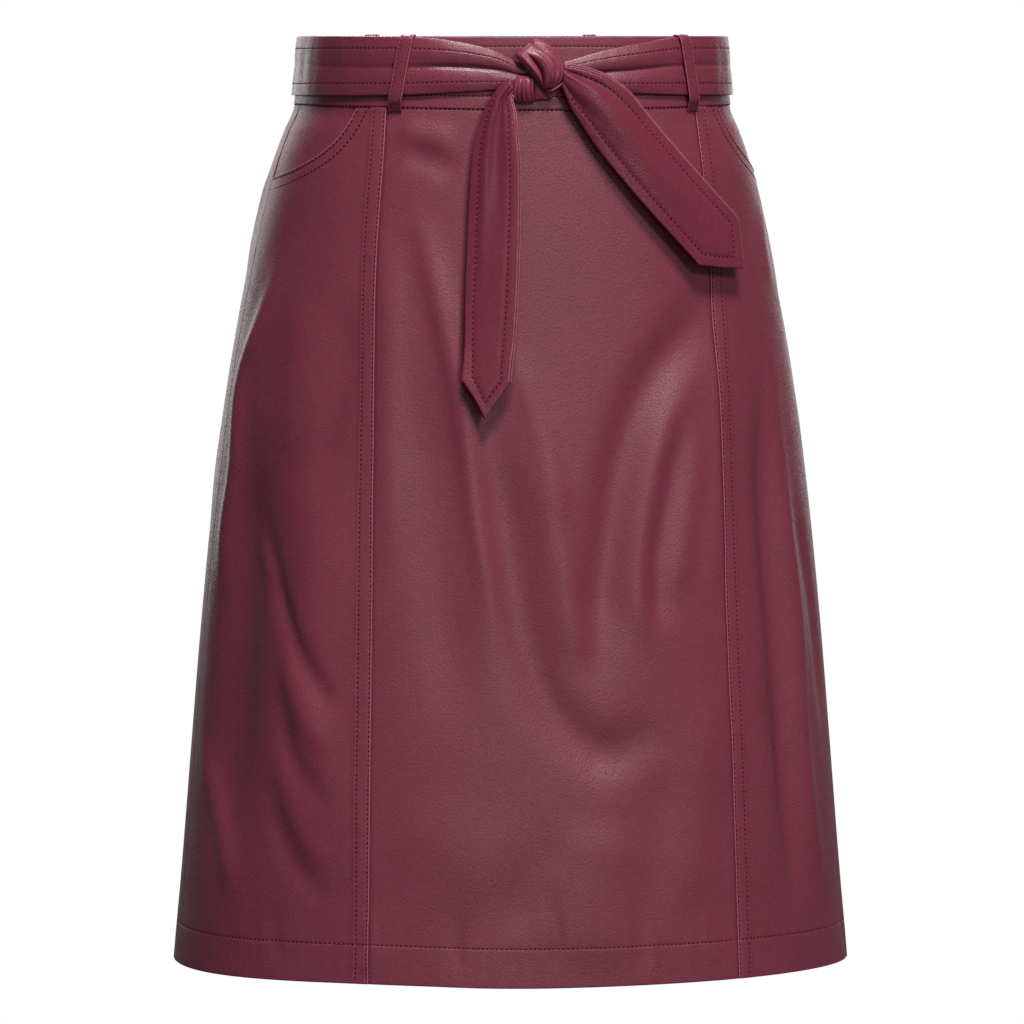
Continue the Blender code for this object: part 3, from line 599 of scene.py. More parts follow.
# tables of edges: distance from the edge, lift, then the same of the backing side, in mm
dippingEdge = np.array((     # the front panel, which dips under the side front's folded edge
    (-9.6, -0.78, -9.6, -1.38), (-4.0, -0.78, -4.0, -1.38), (-0.8, -0.77, -0.8, -1.37),
    (0.1, -0.70, 0.1, -1.30), (0.6, -0.48, 0.5, -1.10), (1.1, -0.25, 1.0, -0.90),
    (1.8, -0.08, 1.8, -0.73), (2.8, 0.00, 2.8, -0.65),
)) * mm
lappedEdge = np.array((      # the side front, folded and lapped over it
    (9.40, -0.74, 9.40, -0.16), (5.00, -0.74, 5.00, -0.16), (1.60, -0.74, 1.60, -0.15),
    (0.70, -0.68, 0.95, -0.14), (0.20, -0.46, 0.80, -0.13), (0.00, -0.12, 0.74, -0.13),
    (0.06, 0.18, 0.76, -0.12), (0.24, 0.38, 0.80, -0.12), (0.55, 0.48, 0.90, -0.12),
    (0.90, 0.50, 1.00, -0.13),
)) * mm
turnedEdge = np.array((      # a plain fold: the cloth rounds it and lies back inside
    (9.00, -1.40, 9.00, -0.78), (5.00, -1.40, 5.00, -0.78), (2.20, -1.40, 2.20, -0.76),
    (1.00, -1.38, 1.10, -0.74), (0.45, -1.26, 0.90, -0.72), (0.12, -0.98, 0.86, -0.71),
    (0.00, -0.68, 0.85, -0.70), (0.08, -0.36, 0.86, -0.69), (0.30, -0.14, 0.88, -0.68),
    (0.70, -0.03, 0.95, -0.66), (1.30, 0.00, 1.40, -0.65),
)) * mm
sewnTop = np.array((         # a panel's top, sewn in under the waistband; distance below its foot
    (-5.0, -0.10, -5.0, -0.75), (-1.2, -0.22, -1.2, -0.87), (0.0, -0.30, 0.0, -0.95),
    (0.5, -0.22, 0.5, -0.85), (1.1, -0.08, 1.1, -0.72),
)) * mm
lapStep = np.array(((9.8, 0.50), (10.5, 0.42), (11.3, 0.20), (12.3, 0.04), (13.4, 0.00))) * mm
lapColumns = (1.15, 1.4, 1.65, 2.0, 2.7, 4.2, 5.9, 7.5, 8.2, 8.6, 8.9, 9.2, 9.6, 10.1, 10.6, 11.2, 12.0, 13.0)

grooveShape = {"depth": 0.28 * mm, "width": 0.55 * mm}
rowMarks = (-1.5, -0.85, -0.4, 0.0, 0.4, 0.85, 1.5)    # grid lines beside a sewn row, in mm


def groove(distance, wide=1.0):
    return -grooveShape["depth"] * bump(distance, grooveShape["width"] * wide)


# wave length in mm, phase, height
puckerWaves = ((9.1, 0.4, 0.40), (14.7, 1.7, 0.30), (22.3, 2.9, 0.20), (37.0, 0.9, 0.25))


def pucker(along, seed):
    # small uneven gathers beside a sewn row, from -1 to 1
    return sum(height * np.sin(2 * math.pi * along / (length * mm) + start + seed * 1.9)
               for length, start, height in puckerWaves)


def lapLift(distance):
    # the lapped seam's strip stands proud by its turned allowance
    return np.interp(distance, lapStep[:, 0], lapStep[:, 1])


def besideEdge(table, far=False, gap=0.0):
    # an edge table as grid lines: fixed distance, share of the width, lift, and the backing's
    o, l, i, il = table.T
    if far:
        o, l, i, il = [a[::-1] for a in (-o - gap, l, -i - gap, il)]
    else:
        o, i = o + gap, i + gap
    share = np.full_like(o, 1.0 if far else 0.0)
    return np.stack((o, share, l, i, share, il + thick), 1)


def plainLines(places, lifts):
    none = np.zeros_like(places)
    return np.stack((places, none, lifts, places, none, lifts), 1)


def fieldLines(first, last, shares):
    # spread by these shares from first to last short of the far edge; a plain count spreads evenly
    s = np.linspace(0, 1, shares) if isinstance(shares, int) else shares
    fixed = first * (1 - s) - last * s
    none = np.zeros_like(s)
    return np.stack((fixed, s, none, fixed, s, none), 1)


def rowOf(like, *values):
    return [np.full_like(like, value) for value in values]


def panelRows(tops, table):
    # drops and lifts of the leather's and the backing's rows, from the top down and up inside the hem
    length, look = skirt["length"], panelLook
    marks = look["hemRow"] + np.array(rowMarks[::-1]) * mm
    outside = [(d, 0.0, d, -thick) for d in (*marks, *look["hemMarks"])]
    outer, inner = look["turnedLift"]
    inside = [*turnedEdge[::-1], *((d, outer, d, inner) for d in look["turnedUp"])]
    rows = [rowOf(tops, tops + o, l, tops + i, il) for o, l, i, il in table]
    start, end = tops + table[-1, 0] + 0.9 * mm, length - marks[0] - 3 * mm
    for s in np.linspace(0, 1, look["rows"]):
        drop = between(start, end, between(s, s * s, look["bend"]))
        rows.append(rowOf(tops, drop, 0.0, drop, -thick))
    rows += [rowOf(tops, length - o, l, length - i, il) for o, l, i, il in outside + inside]
    return [np.array(column) for column in zip(*rows)]


def wall(name, strip, face, back):
    # the right side's columns run the other way
    return cloth(name, face[:, ::strip.side], back[:, ::strip.side])


def makePanel(name, strip, lines, relief, rows, worn=0.0):
    drop, lift, inDrop, inLift = rows
    fixed, share, edgeLift, inFixed, inShare, inEdge = lines.T
    out, inner = fixed + share * strip.width(drop), inFixed + inShare * strip.width(inDrop)
    face = strip.at(out, drop, lift + edgeLift + relief(out, drop))
    piece = wall(name, strip, face, strip.at(inner, inDrop, inLift + inEdge))
    # the attribute carries the painted edge highlight
    mark(piece, "worn", np.broadcast_to(worn, out.shape)[:, ::strip.side].ravel())
    return piece


def closeTo(distance, middle, reach):
    # 1 at the middle, nought well past its reach, both in mm
    return bump(distance - middle * mm, reach * mm)


def hemRelief(drop, along, seed):
    # the hem's sewn row and the small dents of its turning
    away = drop - (skirt["length"] - panelLook["hemRow"])
    dents = pucker(along, seed) * panelLook["hemPucker"] * closeTo(away, 5, 15)
    return groove(away) + dents


frontStrip = Strip(lambda d: -seamTurn(d), seamTurn)
sideStrips = {s: Strip(seamTurn, lambda d: np.full_like(d, 90.0), s) for s in (-1, 1)}
backStrips = {s: Strip(lambda d: np.full_like(d, 90.0), lambda d: np.full_like(d, 180.0), s) for s in (-1, 1)}
dipField, turnedField, lapField = panelLook["field"]
plainSeam = {far: besideEdge(turnedEdge, far=far, gap=skirt["seamGap"]) for far in (False, True)}


def frontRelief(distance, drop):
    near = np.minimum(distance, frontStrip.width(drop) - distance)
    gathers = pucker(drop, 3) * closeTo(near, 3, 6) + pucker(drop, 8) * closeTo(near, 12, 9) * 0.6
    return hemRelief(drop, distance, 0) + gathers * panelLook["lapPucker"]


frontLines = np.concatenate((
    besideEdge(dippingEdge), fieldLines(dipField, dipField, 108), besideEdge(dippingEdge, far=True)))
foot = skirt["bandFront"]
frontTurns = frontStrip.turn(frontLines[:, 0] + frontLines[:, 1] * frontStrip.width(foot), foot)
frontRows = panelRows(bandHeight(frontTurns), sewnTop)
frontPanel = makePanel("front_panel_cloth", frontStrip, frontLines, frontRelief, frontRows)
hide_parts("front_panel")

# the hip pocket's mouth: share of the side front's width, and drop
mouthTable = np.array((
    (0.19, 0.0400), (0.27, 0.0590), (0.36, 0.0715), (0.48, 0.0805),
    (0.62, 0.0870), (0.80, 0.0920), (1.00, 0.0950),
))
pocketLook = {
    "skewLeft": 0.07,         # how much further across it starts on the left side
    "points": 160,
    "rows": (1.6 * mm, 8.3 * mm),
    "proud": 0.08 * mm,       # the rows' rise off the cloth
    "steps": (0.3, 0.5, 0.7, 0.9, 1.3, 1.7, 2.2, 3.0),      # of its first rows, in mm
    "draw": 2.4,              # the most that a slope draws them out
    "room": 10,               # the rows that make room for them
    "hidden": 1.5 * mm,       # how far above the waistband's foot the mouth counts
    "drop": 0.07,             # a usual drop of the mouth
    "pucker": 0.08 * mm,
    "reach": 6 * mm,          # how far from the mouth and its rows the cloth is drawn
    "overlap": 5 * mm,        # how far the facing reaches up under the waistband
    "underlap": 12 * mm,      # and down past the mouth
    "facingRows": 30,
    "pressed": (0.3 * mm, 0.8 * mm),        # its dip at the waistband's foot, and that dip's half width
    "ramp": 18 * mm,
    "sink": (-0.80 * mm, -0.30 * mm),       # the facing's lift, at the mouth and a ramp above it
}


def mouthDrop(side, share):
    # the mouth's edge; it starts up inside the waistband
    skew = pocketLook["skewLeft"] if side > 0 else 0.0
    place = 1.0 - (1.0 - share) / (1.0 - skew)
    steep = (mouthTable[1, 1] - mouthTable[0, 1]) / (mouthTable[1, 0] - mouthTable[0, 0])
    inside = through(mouthTable[:, 0], mouthTable[:, 1], place)
    return inside + np.minimum(place - mouthTable[0, 0], 0.0) * steep * 1.25


def mouthPath(side, offset):
    # places across and down of a line this far below the mouth's edge
    strip = sideStrips[side]
    share = np.linspace(0.02, 1.0, pocketLook["points"])
    drop = mouthDrop(side, share)
    across = share * strip.width(drop)
    runA, runD = np.gradient(across), np.gradient(drop)
    size = np.hypot(runA, runD)
    across, drop = across - runD / size * offset, drop + runA / size * offset
    keep = (drop > skirt["bandSide"] + 0.4 * mm) & (across < strip.width(drop) - 0.8 * mm)
    return across[keep], drop[keep]


def distanceTo(path, across, drop):
    # how far places lie from a line of places
    far, reach = np.full(across.shape, 1.0), pocketLook["reach"]
    near = (drop < path[1].max() + reach) & (drop > path[1].min() - reach)
    a, d = across[near], drop[near]
    least = np.full(a.shape, 1.0)
    for k in range(len(path[0])):
        least = np.minimum(least, np.hypot(a - path[0][k], d - path[1][k]))
    far[near] = least
    return far


def sideRelief(side):
    strip = sideStrips[side]
    path = mouthPath(side, pocketLook["rows"][1])

    def relief(distance, drop):
        wide = strip.width(drop)
        sewn = sum(groove(distance - row) for row in panelLook["lapRows"])
        lap = pucker(drop, 5 + side) * panelLook["lapPucker"] * closeTo(distance, 5, 8)
        seam = pucker(drop, 9 + side) * panelLook["seamPucker"] * closeTo(wide - distance, 4, 8)
        near = drop - mouthDrop(side, distance / wide) < pocketLook["reach"]
        mouth = np.where(near, pucker(distance, 2 + side) * pocketLook["pucker"], 0.0)
        row = groove(distanceTo(path, distance, drop), 1.5) * 0.7
        return hemRelief(drop, distance, 4 + side) + sewn + lap + seam + mouth + row

    return relief


def sideTops(strip, lines):
    # the band's foot and the mouth on each column, and how much its slope draws the rows out
    side, step = strip.side, 0.01
    drop = np.full(len(lines), pocketLook["drop"])
    for _ in range(4):
        share = np.clip((lines[:, 0] + lines[:, 1] * strip.width(drop)) / strip.width(drop), 0.0, 1.0)
        drop = np.clip(mouthDrop(side, share), 0.02, 0.1)
    slope = (mouthDrop(side, share + step) - mouthDrop(side, share - step)) / (2 * step * strip.width(drop))
    foot = bandHeight(strip.turn(share * strip.width(drop), drop))
    return foot, mouthDrop(side, share), np.sqrt(1 + slope**2)


def sideRows(strip, lines):
    # plain columns start under the waistband, and those past it at the pocket's mouth
    look = pocketLook
    foot, mouth, draw = sideTops(strip, lines)
    atMouth = mouth > foot - look["hidden"]
    draw = np.minimum(draw, look["draw"])
    tops = np.where(atMouth, mouth, foot)
    edge = np.array([(d, max(-0.5, d - 0.9) if d < 0.9 else 0.0, d, -0.65) for d in look["steps"]]) * mm
    count = len(edge)
    at, known = np.linspace(0, 1, count), np.linspace(0, 1, len(sewnTop))
    plain = np.stack([np.interp(at, known, column) for column in sewnTop.T], 1)
    rows = panelRows(tops, edge)
    for k, (out, lift, inner, inLift) in enumerate(edge):
        drawn = (tops + out * draw, lift, tops + inner * draw, inLift)
        sewn = (tops + plain[k, 0], plain[k, 1], tops + plain[k, 2], plain[k, 3])
        for row, first, second in zip(rows, drawn, sewn):
            row[k] = np.where(atMouth, first, second)
    for k in range(look["room"]):
        room = np.where(atMouth, edge[-1, 0] * (draw - 1) * (1 - k / look["room"]), 0.0)
        rows[0][count + k] += room
        rows[2][count + k] += room
    return rows


# closer columns where the pocket's mouth runs steeply
sideSpans = ((0, 0.05, 3), (0.05, 0.36, 45), (0.36, 1, 46))
sideShares = np.concatenate([np.linspace(a, b, n, endpoint=b == 1) for a, b, n in sideSpans])
lapPlaces = np.array(lapColumns) * mm
sideLines = np.concatenate((
    besideEdge(lappedEdge), plainLines(lapPlaces, lapLift(lapPlaces)),
    fieldLines(lapField, turnedField, sideShares), plainSeam[True]))
backLines = np.concatenate((plainSeam[False], fieldLines(turnedField, turnedField, 86), plainSeam[True]))
backRows = panelRows(bandHeight(90 + 90 * np.clip(backLines[:, 1], 0, 1)), sewnTop)
# painted highlight along the top of the side front's folded edge
lapEdgeHighlight = closeTo(sideLines[:, 0], 0.25, 0.4) * (sideLines[:, 1] == 0) * (sideLines[:, 2] > 0)


def backRelief(side):
    strip, seed = backStrips[side], 12 + side

    def relief(distance, drop):
        seams = closeTo(distance, 4, 8) * pucker(drop, seed)
        seams += closeTo(strip.width(drop) - distance, 4, 8) * pucker(drop, 31)
        return hemRelief(drop, distance, seed) + seams * panelLook["seamPucker"]

    return relief


for side, word in sides:
    strip = sideStrips[side]
    rows = sideRows(strip, sideLines)
    piece = makePanel(f"side_front_{word}_cloth", strip, sideLines, sideRelief(side), rows, lapEdgeHighlight)
    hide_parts(f"side_front_{word}")
    piece = makePanel(f"back_{word}_cloth", backStrips[side], backLines, backRelief(side), backRows)
    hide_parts(f"back_{word}")
print("panels made")

rollLook = {
    "inset": 0.28 * mm,
    "lift": -0.40 * mm,
    "radius": 0.52 * mm,
    "taper": 3,                # points over which its ends close
    "sides": 10,
    "worn": 0.35,              # painted highlight on its underside; its outward top takes it in full
}

# the hip piece that shows above the pocket's mouth, then the mouth's folded edge, a roll of leather
facingLines = np.concatenate((
    fieldLines(6 * mm, turnedField, 56), besideEdge(turnedEdge[4:], far=True, gap=skirt["seamGap"])))
for side, word in sides:
    strip, look, usual = sideStrips[side], pocketLook, pocketLook["drop"]
    fixed, share, edgeLift, inFixed, inShare, inEdge = facingLines.T
    _, mouth, _ = sideTops(strip, facingLines)
    foot = bandHeight(strip.turn(fixed + share * strip.width(usual), usual))
    low = np.maximum(mouth, foot) + look["underlap"]
    drop = between(foot - look["overlap"], low, np.linspace(0, 1, look["facingRows"])[:, None])
    sink = between(*look["sink"], ease((mouth - drop) / look["ramp"]))
    sink -= look["pressed"][0] * bump(drop - foot, look["pressed"][1])
    face = strip.at(fixed + share * strip.width(drop), drop, sink + np.maximum(edgeLift, -0.9 * mm))
    back = strip.at(inFixed + inShare * strip.width(drop), drop, sink - thick + np.minimum(inEdge, 0.0))
    piece = wall(f"pocket_facing_{word}_cloth", strip, face, back)
    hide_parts(f"pocket_facing_{word}")

for side, word in sides:
    strip = sideStrips[side]
    across, drop = mouthPath(side, rollLook["inset"])
    ends = np.minimum(np.arange(len(drop)), np.arange(len(drop))[::-1]) / rollLook["taper"]
    radius = rollLook["radius"] * np.sqrt(np.clip(1 - (1 - ends).clip(0) ** 2, 0.02, 1))
    lift = np.full_like(drop, rollLook["lift"])
    place = strip.at(across, drop, lift)
    out = unit(strip.at(across, drop, lift + mm) - place)
    sideways = unit(np.cross(np.gradient(place, axis=0), out))
    angle = np.linspace(0, 2 * math.pi, rollLook["sides"], endpoint=False)
    ring = place[:, None] + radius[:, None, None] * (
        sideways[:, None] * np.cos(angle)[:, None] + out[:, None] * np.sin(angle)[:, None])
    # painted highlight: the roll's outward top is lighter, where it would catch the light
    worn = between(rollLook["worn"], 1.0, np.sin(angle) > 0.3)
    mark(tube(f"pocket_edge_{word}", ring), "worn", np.broadcast_to(worn, ring.shape[:2]).ravel())
print("pocket facings made")

# the waistband: one folded strip, its outside and inside joined over the top edge

bandLook = {
    "lift": 0.6 * mm,
    "inside": -1.8 * mm,
    "wall": 0.55 * mm,
    "rowTop": 6.9 * mm,
    "rowFoot": 8.5 * mm,
    "columns": 300,
    "field": (3.2 * mm, 9),    # how far inside the sewn rows its even grid lines begin, and how many
    "topMarks": (3.9 * mm, 2.4 * mm),
    "arc": 11,                 # grid lines over its top edge
    "back": (1.0 * mm, 9),     # how far its inside reaches past the foot, and its grid lines
    "pucker": 0.09 * mm,
    "topWave": 0.10 * mm,
    "around": 0.14,            # the radius that its dents are measured on
    "ends": ((0.15, -0.40), (0.35, -0.18), (0.7, -0.05), (1.3, 0.0)),   # distance from them and lift, in mm
    # rows above its foot: how far above, and lift, then the same of the backing's side; in mm
    "foot": (
        (0.02, -0.20, 0.80, 0.00), (0.00, 0.06, 0.78, 0.02), (0.10, 0.32, 0.80, 0.03),
        (0.35, 0.50, 0.85, 0.04), (0.80, 0.585, 0.95, 0.05), (1.5, 0.60, 1.5, 0.05),
        (3.0, 0.60, 3.0, 0.05), (5.2, 0.60, 5.2, 0.05),
    ),
}


def bandRows(foot):
    # drop, lift, inner drop and inner lift, as grids over the turns
    look = bandLook
    outer, inner, thin = look["lift"], look["inside"], look["wall"]
    marks = np.array(rowMarks) * mm
    rows = [rowOf(foot, foot - up, lift, foot - inUp, inLift)
            for up, lift, inUp, inLift in np.array(look["foot"]) * mm]
    (gap, count), (past, backCount) = look["field"], look["back"]
    low, high = foot - look["rowFoot"] - gap, look["rowTop"] + gap
    drops = [foot - look["rowFoot"] - mark for mark in marks]
    drops += [between(low, high, s) for s in np.linspace(0, 1, count)]
    drops += [*(look["rowTop"] - marks), *look["topMarks"]]
    rows += [rowOf(foot, drop, outer, drop, outer - thin) for drop in drops]
    radius, middle = (outer - inner) / 2, (outer + inner) / 2
    for angle in np.linspace(0, math.pi, look["arc"]):
        rows.append(rowOf(foot, radius * (1 - math.sin(angle)), middle + radius * math.cos(angle),
                          radius - (radius - thin) * math.sin(angle),
                          middle + (radius - thin) * math.cos(angle)))
    for s in np.linspace(0.06, 1, backCount):
        drop = between(radius, foot + past, s)
        rows.append(rowOf(foot, drop, inner, drop, inner + thin))
    return [np.array(column) for column in zip(*rows)]


def bandRelief(turn, drop, foot):
    along = np.radians(turn) * bandLook["around"]
    sewn = groove(drop - bandLook["rowTop"]) + groove(drop - (foot - bandLook["rowFoot"]))
    dents = pucker(along * 0.8, 6) * (closeTo(drop, 4, 5) + closeTo(drop - foot, -4, 5)) * bandLook["pucker"]
    return sewn + dents


fromEnd, endLift = np.array(bandLook["ends"]).T * mm
ends = np.degrees(fromEnd / sections[0, 3])
middle = np.linspace(-178.6, 178.6, bandLook["columns"])
bandTurns = np.concatenate((-180 + ends, middle, (180 - ends)[::-1]))
bandFoot = bandHeight(bandTurns)
drop, lift, inDrop, inLift = bandRows(bandFoot)
outside = lift > 0.2 * mm
faceLift = lift + np.where(outside, bandRelief(bandTurns, drop, bandFoot), 0.0)
endDip = np.zeros_like(bandTurns)
endDip[:4], endDip[-4:] = endLift, endLift[::-1]
topWave = pucker(np.radians(bandTurns) * 0.06, 2) * bandLook["topWave"] * (drop < 3 * mm)
face = lifted(np.broadcast_to(bandTurns, drop.shape), np.maximum(drop, 0), faceLift + endDip * outside)
face[..., 2] = -drop + topWave
back = lifted(np.broadcast_to(bandTurns, drop.shape), np.maximum(inDrop, 0), inLift)
back[..., 2] = -inDrop + topWave
waistband = cloth("waistband_cloth", face[::-1], back[::-1])
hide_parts("waistband")
print("waistband made")


# belt, loops and tails are straps of two plies, each ply a pillow with rounded edges


def pillow(name, shells, finish=strapLeather):
    # closed skins, each from a face and a back that share their edge, and how much painted highlight the face
    # carries
    points, faces, worn, start = [], [], [], 0
    for face, back, *highlight in shells:
        rows, columns = face.shape[:2]
        outer, inner = rows * columns, (rows - 2) * (columns - 2)
        under = np.arange(outer).reshape(rows, columns)
        under[1:-1, 1:-1] = outer + np.arange(inner).reshape(rows - 2, columns - 2)
        quads = gridFaces(rows, columns)
        faces += [quads + start, under.ravel()[quads][:, ::-1] + start]
        points += [face.reshape(-1, 3), back[1:-1, 1:-1].reshape(-1, 3)]
        worn += [np.broadcast_to(highlight[0] if highlight else 0.0, (rows, columns)).ravel(), np.zeros(inner)]
        start += outer + inner
    piece = makePiece(name, np.concatenate(points), np.concatenate(faces), (finish,))
    mark(piece, "worn", np.concatenate(worn))
    return piece


plyLook = {"ply": 1.15 * mm, "round": 0.85 * mm, "fill": 0.96, "low": 0.58 * mm, "high": 1.75 * mm}
edgeSteps = np.array((0.0, 0.06, 0.2, 0.45, 0.8, 1.25)) * mm


def roundEdge(distance, radius):
    t = np.clip(1 - distance / radius, 0.0, 1.0)
    return np.sqrt(1 - t * t)


def plySwell(distance):
    # half a ply's thickness near its edge, from nought at the edge itself
    return roundEdge(distance, plyLook["round"]) * plyLook["ply"] / 2 * plyLook["fill"]


# the belt round the waist, from one side of the knot round behind to the other
beltTable = np.array((      # turn, drop of the top, drop of the foot, depth of the crease along it
    (-6, 0.0190, 0.0330, 0.0008), (-10, 0.0180, 0.0340, 0.0010), (-18, 0.0095, 0.0356, 0.0020),
    (-31, 0.0030, 0.0374, 0.0022), (-44, 0.0006, 0.0390, 0.0010), (-75, 0.0004, 0.0400, 0.0004),
    (-120, 0.0010, 0.0405, 0.0004), (-180, 0.0012, 0.0408, 0.0003), (-240, 0.0010, 0.0405, 0.0004),
    (-285, 0.0004, 0.0400, 0.0004), (-316, 0.0006, 0.0392, 0.0010), (-328, 0.0040, 0.0384, 0.0019),
    (-342, 0.0095, 0.0372, 0.0021), (-355, 0.0170, 0.0345, 0.0012), (-358, 0.0180, 0.0335, 0.0008),
))
beltLook = {
    "under": 0.75 * mm,        # lift of its inner face off the body
    "row": 8.0 * mm,           # the sewn rows' distance from its edges, on the full width
    "full": 39.5 * mm,
    "columns": 420,
    "lip": 0.50,               # where across it the upper half's lower lip lies
    "lipDrift": 0.02,
    "flat": (0.75, 0.9),       # of the upper and the lower roll: the less, the flatter
    "tall": (1.05, 0.80),
    "lean": (0.75, 1.25),      # how the upper roll grows from the top edge to the lip
    "creaseAt": (0.012, 0.028),           # below the lip, and half width, as shares across
    "crease": 1.0 * mm,        # its depth, where the trough is at least this deep
    "deep": 2.4 * mm,
    "lining": 0.55,            # the share of the outer ply's form that the inner one takes
    "dents": (0.50 * mm, 0.14 * mm),      # wide ones, and those beside the rows
    "dentRows": (0.2, 0.8, 0.14),         # where these lie across, and half width
    "calm": 0.35,              # the wide ones' share in front and behind
    "around": 0.14,            # the radius that they are measured on
    "ends": (-358, -6),
    "endMarks": (0.0, 0.12, 0.4, 0.8, 1.4),      # grid lines near the ends, in degrees
    "perDegree": 2.0 * mm,
    "marks": (2.4, 4.4, 6.4),  # grid lines between its edge and the sewn row, in mm
    "field": (11.5 * mm, 15),  # where the even grid lines between the rows begin, and how many
}


def beltSize(turn, column):
    return through(beltTable[:, 0], beltTable[:, column], turn)


def beltLift(turn, share):
    # lift of the outer face's middle; near the knot the upper half rolls down over the lower one
    trough = beltSize(turn, 3)
    lip = beltLook["lip"] + beltLook["lipDrift"] * np.sin(np.radians(turn) * 5)
    high, low = np.clip(share / lip, 0, 1), np.clip((share - lip) / (1 - lip), 0, 1)
    upper, lower = [np.sin(math.pi * place) ** flat * tall
                    for place, flat, tall in zip((high, low), beltLook["flat"], beltLook["tall"])]
    below, wide = beltLook["creaseAt"]
    crease = bump(share - lip - below, wide) * np.clip(trough / beltLook["deep"], 0, 1) * beltLook["crease"]
    return trough * np.where(share < lip, upper * between(*beltLook["lean"], high), lower) - crease


def beltDents(turn, share):
    # soft dents, more of them at the sides of the body
    along = np.radians(turn) * beltLook["around"]
    side = between(beltLook["calm"], 1.0, np.sin(np.radians(turn)) ** 2)
    first, second, reach = beltLook["dentRows"]
    rows = bump(share - first, reach) + bump(share - second, reach)
    wide, small = beltLook["dents"]
    return pucker(along * 0.42, 4) * np.sin(math.pi * share) * wide * side + pucker(along, 7) * rows * small


def beltPlace(turn, place, lift):
    # a point of the belt's outer face, this far from its top edge on the full width
    share = place / beltLook["full"]
    drop = between(beltSize(turn, 1), beltSize(turn, 2), share)
    form = beltLift(turn, share) + beltDents(turn, share)
    return lifted(turn, drop, beltLook["under"] + form * lift[0] + lift[1])


def beltPly(level, outer):
    # one ply between two lifts, as a face and a back
    width, (first, last), (field, count) = beltLook["full"], beltLook["ends"], beltLook["field"]
    row = beltLook["row"] + np.array(rowMarks) * mm
    near = np.concatenate((edgeSteps, np.array(beltLook["marks"]) * mm, row))
    across = np.concatenate((near, np.linspace(field, width - field, count), width - near[::-1]))
    *tight, free = beltLook["endMarks"]
    tight = np.array(tight)
    turns = np.linspace(first + free, last - free, beltLook["columns"])
    turn, place = np.meshgrid(np.concatenate((first + tight, turns, (last - tight)[::-1])), across)
    away = np.minimum(place, width - place)
    ends = np.minimum(turn - first, last - turn) * beltLook["perDegree"]
    swell = plySwell(np.minimum(away, ends))
    sewn = groove(away - beltLook["row"]) if outer else 0.0
    form = 1.0 if outer else beltLook["lining"]
    return beltPlace(turn, place, (form, level + swell + sewn)), beltPlace(turn, place, (form, level - swell))


beltPlies = [beltPly(plyLook["low"], False), beltPly(plyLook["high"], True)]
belt = pillow("belt_cloth", beltPlies)
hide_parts("belt_band")
print("belt made")

# belt loops: turn at the top and at the foot
loopTable = (
    ("front_right", -43.5, -46.5), ("front_left", 44.5, 47.5),
    ("back_right", -142.0, -142.0), ("back_left", 142.0, 142.0),
)
# a loop's run: 1 measures from the band's foot, drop, share of the height over the belt, plain rise
loopPath = np.array((
    (0, 0.0034, 0.00, -0.0026), (0, 0.0008, 0.00, -0.0025), (0, -0.0009, 0.00, -0.0010),
    (0, -0.0010, 0.00, 0.0012), (0, -0.0002, 0.66, 0.0002), (0, 0.0026, 1.00, 0.0000),
    (0, 0.0120, 1.00, 0.0002), (0, 0.0240, 1.00, 0.0002), (0, 0.0365, 1.00, 0.0000),
    (0, 0.0425, 0.90, 0.0000), (1, -0.0012, 0.58, 0.0002), (1, 0.0014, 0.26, 0.0004),
    (1, 0.0028, 0.10, 0.0004), (1, 0.0030, 0.02, 0.0002), (1, 0.0016, 0.00, 0.0001),
))
loopLook = {
    "width": 9.5 * mm,
    "wall": 1.35 * mm,
    "round": 0.7 * mm,
    "crown": 0.12 * mm,
    "row": 1.55 * mm,
    "rowDepth": 0.8,
    "over": 0.5 * mm,          # how far it stands off the belt
    "rows": 74,
    # half the grid across, from its edge inwards
    "steps": np.array((0.0, 0.05, 0.18, 0.4, 0.7, 1.0, 1.3, 1.55, 1.8, 2.1, 2.7, 3.6)) * mm,
}


def loopPoints(top, foot, across, lift):
    # places on a loop's outer middle line, moved across and out of it
    s = np.linspace(0, 1, loopLook["rows"])
    knots = np.linspace(0, 1, len(loopPath))
    height = bandHeight(foot)
    drops = through(knots, loopPath[:, 1] + loopPath[:, 0] * height, s)
    over = beltLook["under"] + 2 * plyLook["ply"] + loopLook["over"] + loopLook["wall"]
    over += beltSize(top if top < 0 else top - 360, 3)
    lifts = through(knots, loopPath[:, 2] * over + loopPath[:, 3], s)
    turns = between(top, foot, drops / height)
    middle, sideways, _, outward = bodyFrame(turns, np.maximum(drops, 0.0))
    middle[:, 2] = -drops
    line = middle + outward * lifts[:, None]
    run = unit(np.gradient(line, axis=0))
    normal = unit(np.cross(run, sideways))
    return line[:, None] + sideways[:, None] * across[None, :, None] + normal[:, None] * lift[..., None]


half, middle, steps = loopLook["width"] / 2, -loopLook["wall"] / 2, loopLook["steps"]
across = np.concatenate((steps - half, [0.0], half - steps[::-1]))
away = half - np.abs(across)
along = np.arange(loopLook["rows"])
ends = np.clip(np.minimum(along, along[::-1]) / 1.5, 0, 1)
swell = roundEdge(away, loopLook["round"]) * np.sqrt(1 - (1 - ends) ** 2)[:, None] * -middle
relief = (1 - (across / half) ** 2) * loopLook["crown"]
relief = (relief + groove(away - loopLook["row"], 0.8) * loopLook["rowDepth"]) * (ends[:, None] > 0.9)
# painted highlight along the loop's edges
worn = closeTo(away, 0.4, 0.35) * 0.8
for word, top, foot in loopTable:
    face = loopPoints(top, foot, across, middle + swell + relief)
    back = loopPoints(top, foot, across, middle - swell)
    piece = pillow(f"belt_loop_{word}_cloth", [(face, back, worn)])
    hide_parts(f"belt_loop_{word}")
print("belt loops made")

